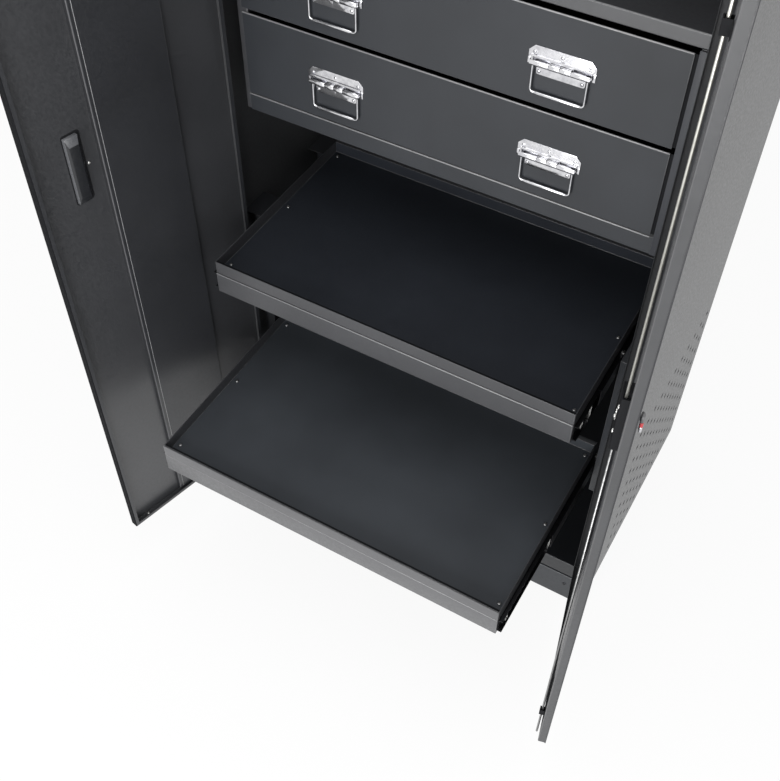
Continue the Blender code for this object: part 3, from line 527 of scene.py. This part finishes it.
sheetPieces = {
    charcoalCoat: ["back_panel", "top_pan", "drawer_shelf", "left_drawer_housing",
                   "right_drawer_housing", "lower_tray_frame", "upper_tray_frame",
                   "lower_drawer_box", "upper_drawer_box"],
    doorCoat: ["left_door_panel", "right_door_panel"],
    stiffenerCoat: ["left_door_stiffener", "right_door_stiffener"],
    trayCoat: ["upper_tray_pan"],
    lowerTrayCoat: ["lower_tray_pan"],
    # painted shade: the floor pan and the left front upright in black
    blackMoulding: ["floor_pan", "left_front_upright"],
    # painted shade: drawer fronts, rail, plinth and the other uprights in the darker charcoal copy
    drawerCoat: ["lower_drawer_front", "upper_drawer_front", "drawer_rail", "plinth_pan",
                 "right_front_upright", "left_rear_upright", "right_rear_upright"],
    sideCoat: ["left_side_panel", "right_side_panel"],
}
plateEdge = dict(foldedSheet, rim=0.40)
runnerSheet = dict(foldedSheet, bend=0.0016)
folded = {}
for material, names in sheetPieces.items():
    for name in names:
        cut = plateEdge if name.endswith("_drawer_front") else foldedSheet
        folded[name] = foldedCopy(name, material, cut)
for name in nodes:
    if name.endswith("_runner"):
        foldedCopy(name, blackZinc, runnerSheet)
print("sheet metal folded")


# round bars and small fittings keep their node shape, merged and shaded smooth

lockRods = {"thin": 0.62}
doorPull = {"edge": 0.0011, "front": -0.2, "side": 0.8, "top": 0.15}


def smoothCopy(node, material):
    twin = mergedCopy(node, "smooth_")
    smoothOff(twin)
    return standIn(twin, node, material)


for name in nodes:
    if name.endswith(("hinge_leaf", "hinge_pin")):
        smoothCopy(name, charcoalCoat)
thinner = Matrix.Diagonal((lockRods["thin"], lockRods["thin"], 1, 1))
# the lower rod in the duller zinc: painted shade
for name, material in (("upper_lock_rod", rodZinc), ("lower_lock_rod", dullZinc)):
    rod = smoothCopy(name, material)
    low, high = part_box(name)
    middle = Matrix.Translation((low + high) / 2)
    rod.data.transform(middle @ thinner @ middle.inverted())
for name in ("upper_rod_guide", "lower_rod_guide", "lock_case"):
    smoothCopy(name, mattBlack)
smoothCopy("lock_handle", charcoalCoat)
pull = smoothCopy("left_door_pull", blackMoulding)
easeEdges(pull, doorPull["edge"], segments=3, angle=20, smooth=50)
pull.data.materials.append(satinRim)
intoDoor = doorMove["left"].to_3x3().inverted()
for face in pull.data.polygons:  # the sides towards the free edge and the top take the lighter coat: painted light
    way = intoDoor @ face.normal
    litFace = way.y > doorPull["front"] and (way.x > doorPull["side"] or way.z > doorPull["top"])
    face.material_index = 1 if litFace else 0
print("bars and fittings smoothed")


# trays: pans coated like the frame outside, with painted shade inside (a darker copy of the coat on floor and back
# wall), and trim along the rims

trayTrim = {"sheet": 0.0015, "gap": 0.0001,
            "near": 0.0018, "floor": 0.0030, "back": 0.004, "backTurn": 0.7,
            "hem": 0.009, "hemTurn": (0, 0.0012, -0.0022), "edge": 0.0006, "fine": 0.0003,
            "line": 0.0006, "bead": 0.0010, "proud": 0.0002, "sideIn": 0.002, "endIn": 0.001,
            "rimDrop": 0.0004, "footRise": 0.0012,
            "lip": 0.0048, "lipTop": 0.0014, "lipFoot": 0.0026, "lipTurn": (0, 0.0004, -0.0022),
            "cover": 0.0009, "coverFoot": 0.0004, "coverTurn": (0, 0.0006, 0.0002)}

t = trayTrim
for tray in trays:
    low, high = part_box(tray + "_pan")
    frameLow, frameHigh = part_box(tray + "_frame")
    pan = folded[tray + "_pan"]
    pan.data.materials.append(charcoalCoat)
    # painted shade: floor and back-wall faces keep the darker tray coat, the rest take the charcoal coat
    for face in pan.data.polygons:
        c = face.center
        inside = low.x + t["near"] < c.x < high.x - t["near"] and low.y + t["near"] < c.y < high.y
        floorFace = inside and c.z < low.z + t["floor"]
        backFace = face.normal.y < -t["backTurn"] and c.y > high.y - t["back"]
        face.material_index = 0 if floorFace or backFace else 1
    hem = startBlock(tray + "_hem", (low.x, high.y + t["gap"], high.z - t["sheet"]),
                     (high.x, high.y + t["hem"], high.z))
    pushFaces(hem, lambda f: f.normal.y > squareOn, t["hemTurn"])
    easeEdges(hem, t["edge"])
    # the hem in the darker charcoal copy: painted shade
    seat(hem, tray, drawerCoat)
    between = (low.x + t["sideIn"], high.x - t["sideIn"])
    wall = high.y - t["sheet"] - t["proud"]
    for word, z in (("rim", high.z - t["rimDrop"]), ("foot", low.z + t["sheet"] + t["footRise"])):
        layBead(f"{tray}_back_{word}", t["line"], between, wall, z, tray, charcoalCoat)
    # painted shadow: a black strip along the inner front wall, where the floor meets it
    inner = low.y + t["sheet"]
    lip = startBlock(tray + "_front_lip", (between[0], inner + t["gap"], high.z - t["lipFoot"]),
                     (between[1], inner + t["lip"], high.z - t["lipTop"]))
    pushFaces(lip, lambda f: f.normal.y > squareOn, t["lipTurn"])
    easeEdges(lip, t["fine"])
    seat(lip, tray, mattBlack)
    joint = (low.x + t["endIn"], high.x - t["endIn"])
    if tray == "upper_tray":  # the joint between pan and apron: a bead in the light coat, a painted highlight line
        layBead(tray + "_apron_bead", t["bead"], joint, frameLow.y + t["proud"],
                frameHigh.z - t["bead"] + t["proud"], tray, edgeCoat)
    else:  # one plate covers pan and apron
        front = frameLow.y - t["cover"]
        cover = startBlock(tray + "_front_face", (low.x, front, frameLow.z + t["coverFoot"]),
                           (high.x, frameLow.y - t["gap"], high.z))
        pushFaces(cover, lambda f: f.normal.z > squareOn, t["coverTurn"])
        easeEdges(cover, t["fine"])
        seat(cover, tray, charcoalCoat)
        # the front line in the light coat: a painted highlight
        layBead(tray + "_front_line", t["line"], joint, front, frameHigh.z, tray, edgeCoat)
print("trays trimmed")


# a pan-head screw, modelled head up and copied wherever one shows

screwHead = {"radius": 0.0040, "height": 0.0010, "crown": 0.0012,
             "rings": ((0.20, 0.6), (0.32, 0.4)), "rim": 0.0003}


def modelScrew():
    s = screwHead
    piece = startDrum("screwHead", s["radius"], s["height"], (0, 0, s["height"] / 2))
    pickFaces(piece, lambda f: f.normal.z > squareOn)
    for inward, rise in s["rings"]:
        bpy.ops.mesh.inset(thickness=s["radius"] * inward, depth=s["crown"] * rise)
    bpy.ops.mesh.inset(thickness=s["rim"], depth=0)
    push(0, 0, -s["crown"])
    leaveEdit()
    smoothOff(piece, angle=50)
    return piece


screw = modelScrew()
faceUp = Matrix.Identity(4)
faceFront = Matrix.Rotation(math.radians(90), 4, "X")
faceBack = Matrix.Rotation(math.radians(-90), 4, "X")


def setScrew(name, place, turn, body, material, size=1.0, carry=None):
    move = Matrix.Translation(Vector(place)) @ turn @ Matrix.Scale(size, 4)
    head = copyTo(screw, name, carry @ move if carry else move)
    seat(head, body, material)


trayScrews = {"inset": 0.0134, "rows": (0.0325, 0.2415, 0.4425), "floor": 0.0015}
for tray in trays:
    low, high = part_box(tray + "_pan")
    height = low.z + trayScrews["floor"]
    for row, along in enumerate(trayScrews["rows"]):
        for x, word in ((low.x + trayScrews["inset"], "left"), (high.x - trayScrews["inset"], "right")):
            setScrew(f"{tray}_screw_{row}_{word}", (x, low.y + along, height), faceUp, tray, dullZinc)
plinthScrews = {"across": 0.407, "height": 0.057}
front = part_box("plinth_pan")[0].y
for side, word in bothSides:
    setScrew(f"plinth_screw_{word}", (side * plinthScrews["across"], front, plinthScrews["height"]),
             faceFront, "carcass", blackZinc)
backRivets = {"inset": 0.016, "foot": 0.20, "head": 1.90, "count": 7, "size": 1.1}
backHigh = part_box("back_panel")[1]
rise = backRivets["head"] - backRivets["foot"]
for k in range(backRivets["count"]):
    height = backRivets["foot"] + rise * k / (backRivets["count"] - 1)
    for side, word in bothSides:
        place = (side * (backHigh.x - backRivets["inset"]), backHigh.y, height)
        setScrew(f"back_rivet_{word}_{k}", place, faceBack, "carcass", charcoalCoat, backRivets["size"])
print("screws set")


# drop handles on the drawers: a plate with ears and two knuckles, a lower leaf with two, and the bail

chestHandle = {"half": 0.0575, "top": 0.027, "back": 0.0046, "leaf": 0.0012, "corner": 0.010,
               "ear": 0.053, "earFoot": -0.006, "earStand": 0.0016, "radius": 0.0058,
               "ledge": 0.0115, "ledgeStand": 0.0026, "edge": 0.0003,
               "lowerHalf": 0.0425, "lowerFoot": -0.0225, "lowerCorner": 0.0045,
               "roll": 240, "rollSteps": 14, "slack": 0.0003, "near": 0.001,
               "plateKnuckles": [(-0.0515, -0.0190), (0.0195, 0.0515)],
               "leafKnuckles": [(-0.0182, -0.0004), (0.0004, 0.0187)],
               "rivets": [(-0.047, 0.0155), (0.0, 0.0180), (0.047, 0.0155),
                          (-0.037, -0.0165), (0.037, -0.0165)], "rivetSize": 0.75}


def rollKnuckles(piece, spans, way):
    s = chestHandle
    bisectAt(piece, [x for span in spans for x in span])
    pickFaces(piece, lambda f: f.normal.z * way > squareOn
              and abs(f.center.z - way * -s["radius"]) < s["slack"]
              and any(a < f.center.x < b for a, b in spans))
    push(0, 0, way * s["radius"])
    bpy.ops.mesh.spin(steps=s["rollSteps"], angle=math.radians(-way * s["roll"]),
                      center=(0, s["back"] - s["radius"], 0), axis=(1, 0, 0))
    bpy.ops.mesh.select_all(action="SELECT")
    bpy.ops.mesh.remove_doubles(threshold=mergeGap)
    bpy.ops.mesh.normals_make_consistent(inside=False)
    leaveEdit()


def modelPlate():
    s = chestHandle
    piece = startBlock("handlePlate", (-s["half"], s["back"] - s["leaf"], s["radius"]),
                       (s["half"], s["back"], s["top"]))
    roundCorners(piece, s["corner"], 1, s["top"] - s["near"])
    bisectAt(piece, (-s["ear"], s["ear"]))
    pushFaces(piece, lambda f: f.normal.z < -squareOn and abs(f.center.x) > s["ear"]
              and f.center.z < s["radius"] + s["near"], (0, 0, s["earFoot"] - s["radius"]))
    # ears stand off the drawer
    pushFaces(piece, lambda f: f.normal.y < -squareOn and f.center.z < s["radius"], (0, -s["earStand"], 0))
    bisectAt(piece, [s["ledge"]], (0, 0, 1))
    pushFaces(piece, lambda f: f.normal.y < -squareOn and s["radius"] < f.center.z < s["ledge"]
              and abs(f.center.x) < s["ear"], (0, -s["ledgeStand"], 0))
    rollKnuckles(piece, s["plateKnuckles"], -1)
    easeEdges(piece, s["edge"], angle=40, smooth=45)
    return piece


def modelLowerLeaf():
    s = chestHandle
    piece = startBlock("handleLowerLeaf", (-s["lowerHalf"], s["back"] - s["leaf"], s["lowerFoot"]),
                       (s["lowerHalf"], s["back"], -s["radius"]))
    roundCorners(piece, s["lowerCorner"])
    rollKnuckles(piece, s["leafKnuckles"], 1)
    easeEdges(piece, s["edge"], angle=40, smooth=45)
    return piece


bailShape = {"half": 0.047, "drop": 0.054, "wire": 0.0023, "grip": 0.0030, "gripHalf": 0.034,
             "neck": 0.003, "corner": 0.007, "sides": 14, "steps": 7, "seam": 0.0001}


def modelBail():
    s = bailShape
    restHands()
    bpy.ops.mesh.primitive_circle_add(vertices=s["sides"], radius=s["grip"],
                                      location=(0, 0, -s["drop"]), rotation=alongX)
    piece = nameIt("bail")
    settle(piece)
    bpy.ops.object.mode_set(mode="EDIT")
    bpy.ops.mesh.select_mode(type="EDGE")
    bpy.ops.mesh.select_all(action="SELECT")
    push(s["gripHalf"])
    push(s["neck"])
    shrink = s["wire"] / s["grip"]
    bpy.ops.transform.resize(value=(1, shrink, shrink),
                             center_override=(s["gripHalf"] + s["neck"], 0, -s["drop"]))
    bend = s["half"] - s["corner"]
    push(bend - s["gripHalf"] - s["neck"])
    bpy.ops.mesh.spin(steps=s["steps"], angle=math.radians(90),
                      center=(bend, 0, s["corner"] - s["drop"]), axis=(0, 1, 0))
    push(0, 0, s["drop"] - 2 * s["corner"])
    bpy.ops.mesh.spin(steps=s["steps"], angle=math.radians(90),
                      center=(bend, 0, -s["corner"]), axis=(0, 1, 0))
    push(-bend)
    bpy.ops.mesh.select_all(action="SELECT")
    bpy.ops.mesh.remove_doubles(threshold=mergeGap)
    leaveEdit()
    step = piece.modifiers.new("otherHalf", "MIRROR")
    step.merge_threshold = s["seam"]
    bpy.ops.object.modifier_apply(modifier=step.name)
    editAll(piece)
    bpy.ops.mesh.normals_make_consistent(inside=False)
    leaveEdit()
    smoothOff(piece, angle=60)
    return piece


plate, lowerLeaf, bail = modelPlate(), modelLowerLeaf(), modelBail()
for drawer in drawers:
    for hand in ("left", "right"):
        name = f"{drawer}_{hand}"
        axle = Vector(jointAt[name + "_bail_hinge"]["pos_m"])
        move = Matrix.Translation(axle)
        twin = copyTo(plate, name + "_chest_plate", move)
        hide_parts(name + "_handle_plate")
        seat(twin, drawer, brightChrome)
        seat(copyTo(lowerLeaf, name + "_lower_leaf", move), drawer, brightChrome)
        twin = copyTo(bail, name + "_drop_bail", move)
        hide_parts(name + "_bail")
        seat(twin, name + "_bail", brightChrome)
        for k, (x, z) in enumerate(chestHandle["rivets"]):
            place = axle + Vector((x, chestHandle["back"] - chestHandle["leaf"], z))
            setScrew(f"{name}_rivet_{k}", place, faceFront, drawer, brightChrome, chestHandle["rivetSize"])
for piece in (plate, lowerLeaf, bail):
    putAway(piece)
print("drop handles made")


# drawer housing: rolled beads on the rail and fronts in the light coat as painted highlight, a facing on the right
# post, black strips at the right ends as painted shade in the gaps

housingTrim = {"bead": 0.0015, "beadSides": 12, "beadEdge": 0.0005, "beadIn": 0.0004, "proud": 0.0002,
               "endIn": 0.0005, "facing": (0.4042, 0.4265), "sheet": 0.0012, "gap": 0.0003,
               "facingTop": 0.001, "facingTurn": (0.0008, 0.0018, 0), "facingEdge": 0.0005,
               "strip": (0.3960, 0.4035), "stripBack": (0.0005, 0.0022), "stripEnds": 0.002,
               "stripEdge": 0.0004}
h = housingTrim
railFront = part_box("drawer_rail")[0].y
frontLow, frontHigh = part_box("lower_drawer_front")
span = (frontLow.x + h["endIn"], frontHigh.x - h["endIn"])
beads = [("rail", "drawer_rail", "carcass")] + [(drawer, drawer + "_front", drawer) for drawer in drawers]
# the beads take the light coat: painted highlight
for word, node, body in beads:
    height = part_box(node)[1].z - h["bead"] + h["proud"]
    layBead(word + "_bead", h["bead"], span, railFront + h["beadIn"], height, body, edgeCoat,
            h["beadSides"], h["beadEdge"])
housingLow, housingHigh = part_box("right_drawer_housing")
back = railFront - h["gap"]
facing = startBlock("right_post_facing", (h["facing"][0], back - h["sheet"], housingLow.z),
                    (h["facing"][1], back, housingHigh.z - h["facingTop"]))
pushFaces(facing, lambda f: f.normal.x > squareOn, h["facingTurn"])
easeEdges(facing, h["facingEdge"])
seat(facing, "carcass", trayCoat)
# painted shade: black strips in the gaps at the drawers' right ends
for drawer in drawers:
    low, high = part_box(drawer + "_front")
    strip = startBlock(drawer + "_end_strip",
                       (h["strip"][0], high.y + h["stripBack"][0], low.z + h["stripEnds"]),
                       (h["strip"][1], high.y + h["stripBack"][1], high.z - h["stripEnds"]))
    easeEdges(strip, h["stripEdge"])
    seat(strip, drawer, mattBlack)
print("drawer housing trimmed")


# lock on the right door: cam, screws, red mark and bright tip on the handle

lockFit = {"camHalf": 0.0045, "camSheet": 0.0018, "camDown": 0.007, "camUp": 0.015, "corner": 0.0040,
           "gap": 0.0003, "edge": 0.0003, "camScrew": 0.9, "screwIn": 0.007, "screws": (0.031, -0.020)}
handleBands = {"lock_mark": {"finish": redEnamel, "half": 0.0074, "foot": -0.006, "top": 0.003,
                             "edge": 0.0009},
               "lock_tip": {"finish": brightChrome, "half": 0.0070, "foot": -0.0172, "top": -0.0066,
                            "edge": 0.0016}}
bandDepth = {"proud": 0.0002, "deep": 0.0044}


def hang(piece, side, body, material):
    piece.data.transform(doorMove[side])
    seat(piece, body, material)


spindle = doorMove["right"].inverted() @ Vector(jointAt["lock_turn"]["pos_m"])
caseLow, caseHigh = shutBox("lock_case", "right")
leverFront = shutBox("lock_handle", "right")[0].y
camFoot = caseHigh.y + lockFit["gap"]
camFace = camFoot + lockFit["camSheet"]
cam = startBlock("lock_cam", (spindle.x - lockFit["camHalf"], camFoot, spindle.z - lockFit["camDown"]),
                 (spindle.x + lockFit["camHalf"], camFace, spindle.z + lockFit["camUp"]))
roundCorners(cam, lockFit["corner"])
easeEdges(cam, lockFit["edge"])
hang(cam, "right", "lock_handle", brightZinc)
setScrew("lock_cam_screw", (spindle.x, camFace, spindle.z), faceBack, "lock_handle", brightZinc,
         lockFit["camScrew"], doorMove["right"])
for k, drop in enumerate(lockFit["screws"]):
    place = (caseLow.x + lockFit["screwIn"], caseHigh.y, spindle.z + drop)
    setScrew(f"lock_case_screw_{k}", place, faceBack, "right_door", brightZinc, 1.0, doorMove["right"])
for name, band in handleBands.items():
    piece = startBlock(name,
                       (spindle.x - band["half"], leverFront - bandDepth["proud"], spindle.z + band["foot"]),
                       (spindle.x + band["half"], leverFront + bandDepth["deep"], spindle.z + band["top"]))
    easeEdges(piece, band["edge"], segments=3)
    hang(piece, "right", "lock_handle", band["finish"])

# a dark seam along the right door's free edge, drawn as a black strip: painted shade
doorSeamShade = {"proud": 0.0006, "in": 0.0002, "near": 0.0001, "wide": 0.0024, "ends": 0.001, "edge": 0.00025}
low, high = shutBox("right_door_panel", "right")
seam = startBlock("right_door_seam",
                  (low.x - doorSeamShade["proud"], low.y + doorSeamShade["near"], low.z + doorSeamShade["ends"]),
                  (low.x + doorSeamShade["in"], low.y + doorSeamShade["wide"], high.z - doorSeamShade["ends"]))
easeEdges(seam, doorSeamShade["edge"])
hang(seam, "right", "right_door", blackMoulding)

# left door: a stop bolt in the foot flange, a screw beside the pull and a black surround under it, painted shade
# round the pull
leftFit = {"bolt": (-0.046, 0.0065, 0.0015), "screw": (-0.1215, 0.0015, 1.171), "screwSize": 0.8,
           "surround": (-0.1170, -0.0790, 1.0985, 1.2455), "surroundBack": (0.00152, 0.00176),
           "corner": 0.005}
leftLow = shutBox("left_door_panel", "left")[0]
x, inward, rise = leftFit["bolt"]
setScrew("left_stop_bolt", (x, leftLow.y + inward, leftLow.z + rise), faceUp, "left_door", brightZinc,
         1.0, doorMove["left"])
x, inward, height = leftFit["screw"]
setScrew("left_pull_screw", (x, leftLow.y + inward, height), faceBack, "left_door", brightZinc,
         leftFit["screwSize"], doorMove["left"])
# painted shade: a black plate round the pull
left, right, bottom, top = leftFit["surround"]
surround = startBlock("left_pull_surround", (left, leftLow.y + leftFit["surroundBack"][0], bottom),
                      (right, leftLow.y + leftFit["surroundBack"][1], top))
roundCorners(surround, leftFit["corner"])
hang(surround, "left", "left_door", mattBlack)

# painted shade on the door edges: black on the left door's free edge, the darker stiffener coat on its lips, black
# on the right door's hinge side
shadeEdge = {"free": 0.004, "lip": 0.0010, "hinge": 0.43, "turn": 0.25, "facing": 0.7}
for side, dark in (("left", mattBlack), ("right", blackMoulding)):
    panel = folded[side + "_door_panel"]
    panel.data.materials.append(dark)
    panel.data.materials.append(stiffenerCoat)
    high = shutBox(side + "_door_panel", side)[1]
    home = doorMove[side].inverted()
    for face in panel.data.polygons:
        way = home.to_3x3() @ face.normal
        spot = home @ face.center
        if side == "left" and way.x > shadeEdge["turn"] and spot.x > high.x - shadeEdge["free"]:
            face.material_index = 1
        elif side == "left" and way.y > shadeEdge["facing"] and spot.y > high.y - shadeEdge["lip"]:
            face.material_index = 2
        elif side == "right" and way.x < -shadeEdge["facing"] and spot.x > shadeEdge["hinge"]:
            face.material_index = 1

# a fine rib along each stiffener; the left one in the light coat, a painted highlight line
stiffenerRib = {"across": 0.1530, "radius": 0.0007, "sides": 10, "sunk": 0.0002, "ends": 0.004,
                "edge": 0.0003}
for (way, side), material in zip(bothSides, (edgeCoat, stiffenerCoat)):
    low, high = shutBox(side + "_door_stiffener", side)
    place = (way * stiffenerRib["across"], high.y - stiffenerRib["sunk"], (low.z + high.z) / 2)
    rib = startDrum(side + "_stiffener_rib", stiffenerRib["radius"], high.z - low.z - stiffenerRib["ends"],
                    place, stiffenerRib["sides"])
    easeEdges(rib, stiffenerRib["edge"], angle=60, smooth=50)
    hang(rib, side, side + "_door", material)
print("door fittings set")


# catches on the runners: one at the front of the inner member, one further in, a hook on the outer member

runnerCatch = {"front": 0.016, "lower_tray": 0.213, "upper_tray": 0.058, "long": 0.010,
               "inward": 0.0024, "outward": 0.0036, "ends": 0.0024,
               "wall": 0.0018, "hollow": 0.0030, "edge": 0.0005}
runnerHook = {"in": 0.0012, "out": 0.0006, "front": 0.0004, "back": 0.0084, "foot": 0.0001, "top": 0.0042}


def modelCatch(name, low, high):
    piece = startBlock(name, low, high)
    outward = 1 if low[0] > 0 else -1
    pickFaces(piece, lambda f: f.normal.x * outward > squareOn)
    bpy.ops.mesh.inset(thickness=runnerCatch["wall"], depth=0)
    push(-outward * runnerCatch["hollow"])
    leaveEdit()
    easeEdges(piece, runnerCatch["edge"])
    return piece


c = runnerCatch
h = runnerHook
for tray in trays:
    for side, word in bothSides:
        low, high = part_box(f"{tray}_{word}_inner_runner")
        across = abs(low.x + high.x) / 2
        inX = sorted((side * (across - c["inward"]), side * (across + c["outward"])))
        spots = ((c["front"], (low.z + high.z) / 2), (c[tray], low.z + c["ends"]))
        for k, (along, foot) in enumerate(spots):
            catch = modelCatch(f"{tray}_{word}_catch_{k}", (inX[0], low.y + along, foot),
                               (inX[1], low.y + along + c["long"], high.z - c["ends"]))
            # the right catches in bright zinc, the left in dark zinc: painted shade
            seat(catch, tray, brightZinc if side > 0 else blackZinc)
        low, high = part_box(f"{tray}_{word}_outer_runner")
        hook = modelCatch(f"{tray}_{word}_hook", (low.x + h["in"], low.y + h["front"], high.z + h["foot"]),
                          (high.x - h["out"], low.y + h["back"], high.z + h["top"]))
        seat(hook, "carcass", brightZinc)
putAway(screw)
print("runner catches made")


# camera, light and floor

eye = {"place": (0.7037, -1.7109, 2.3642), "azimuth": 29.19, "elevation": 49.67, "roll": 0.89,
       "lens": 50.24, "sensor": 36, "shiftX": -0.0041, "shiftY": 0.0041}
a, e, roll = (math.radians(eye[k]) for k in ("azimuth", "elevation", "roll"))
forward = Vector((-math.sin(a) * math.cos(e), math.cos(a) * math.cos(e), -math.sin(e)))
right = Vector((math.cos(a), math.sin(a), 0))
up = right.cross(forward)
turnedRight = right * math.cos(roll) + up * math.sin(roll)
turnedUp = up * math.cos(roll) - right * math.sin(roll)
lensData = bpy.data.cameras.new("eye")
lensData.sensor_fit = "HORIZONTAL"
lensData.sensor_width = eye["sensor"]
lensData.lens = eye["lens"]
lensData.shift_x = eye["shiftX"]
lensData.shift_y = eye["shiftY"]
camera = bpy.data.objects.new("eye", lensData)
bpy.context.scene.collection.objects.link(camera)
turn = Matrix((turnedRight, turnedUp, -forward)).transposed()
camera.matrix_world = Matrix.Translation(eye["place"]) @ turn.to_4x4()
bpy.context.scene.camera = camera

studio = {"ambient": 0.55, "floor": 12.0, "below": -0.0004, "pale": (0.86, 0.86, 0.86), "matte": 0.9,
          "glow": 0.9,
          "lamps": {"overhead": ((0.2, -1.0, 4.2), (0.0, -0.3, 0.9), 3.0, 60),
                    "front": ((0.4, -3.5, 1.3), (0.0, -0.5, 0.5), 2.0, 88),
                    "side": ((3.4, -1.2, 0.7), (0.4, 0.0, 0.6), 2.0, 36)}}


def addLamp(name, place, aim, size, power):
    data = bpy.data.lights.new(name, "AREA")
    data.shape = "SQUARE"
    data.size = size
    data.energy = power
    lamp = bpy.data.objects.new(name, data)
    lamp.matrix_world = (Matrix.Translation(place)
                         @ (Vector(place) - Vector(aim)).to_track_quat("Z", "Y").to_matrix().to_4x4())
    bpy.context.scene.collection.objects.link(lamp)


for name, (place, aim, size, power) in studio["lamps"].items():
    addLamp(name, place, aim, size, power)


# 1 for rays from the camera and those seen in metal or glass
def seenRays(tree):
    rays = addNode(tree, "ShaderNodeLightPath", (-600, 200))
    seen = rays.outputs["Is Camera Ray"]
    for x, kind in ((-400, "Is Glossy Ray"), (-200, "Is Transmission Ray")):
        either = addNode(tree, "ShaderNodeMath", (x, 200), operation="MAXIMUM")
        tree.links.new(seen, either.inputs[0])
        tree.links.new(rays.outputs[kind], either.inputs[1])
        seen = either.outputs[0]
    return seen


def blendShaders(tree, share, first, second, outlet):
    blend = addNode(tree, "ShaderNodeMixShader", (300, 0))
    tree.links.new(share, blend.inputs[0])
    tree.links.new(first.outputs[0], blend.inputs[1])
    tree.links.new(second.outputs[0], blend.inputs[2])
    tree.links.new(blend.outputs[0], tree.nodes[outlet].inputs["Surface"])


world = bpy.data.worlds.new("studio")
bpy.context.scene.world = world
world.use_nodes = True
tree = world.node_tree
backdrop = tree.nodes["Background"]
backdrop.inputs["Color"].default_value = (1, 1, 1, 1)
backdrop.inputs["Strength"].default_value = studio["ambient"]
plain = addNode(tree, "ShaderNodeBackground", (0, -200), Color=(1, 1, 1, 1), Strength=1.0)
blendShaders(tree, seenRays(tree), backdrop, plain, "World Output")

restHands()
bpy.ops.mesh.primitive_plane_add(size=studio["floor"], location=(0, 0, studio["below"]))
floor = nameIt("paleFloor")
settle(floor)
paleFloor = bpy.data.materials.new("paleFloor")
paleFloor.use_nodes = True
tree = paleFloor.node_tree
matte = tree.nodes["Principled BSDF"]
matte.inputs["Base Color"].default_value = (*studio["pale"], 1)
matte.inputs["Roughness"].default_value = studio["matte"]
glow = addNode(tree, "ShaderNodeEmission", (0, -300), Color=(1, 1, 1, 1), Strength=1.0)
share = addNode(tree, "ShaderNodeMath", (0, 300), operation="MULTIPLY")
share.inputs[1].default_value = studio["glow"]
tree.links.new(seenRays(tree), share.inputs[0])
blendShaders(tree, share.outputs[0], matte, glow, "Material Output")
dress(floor, paleFloor)
bpy.context.scene.view_settings.view_transform = "Standard"
print("studio ready")
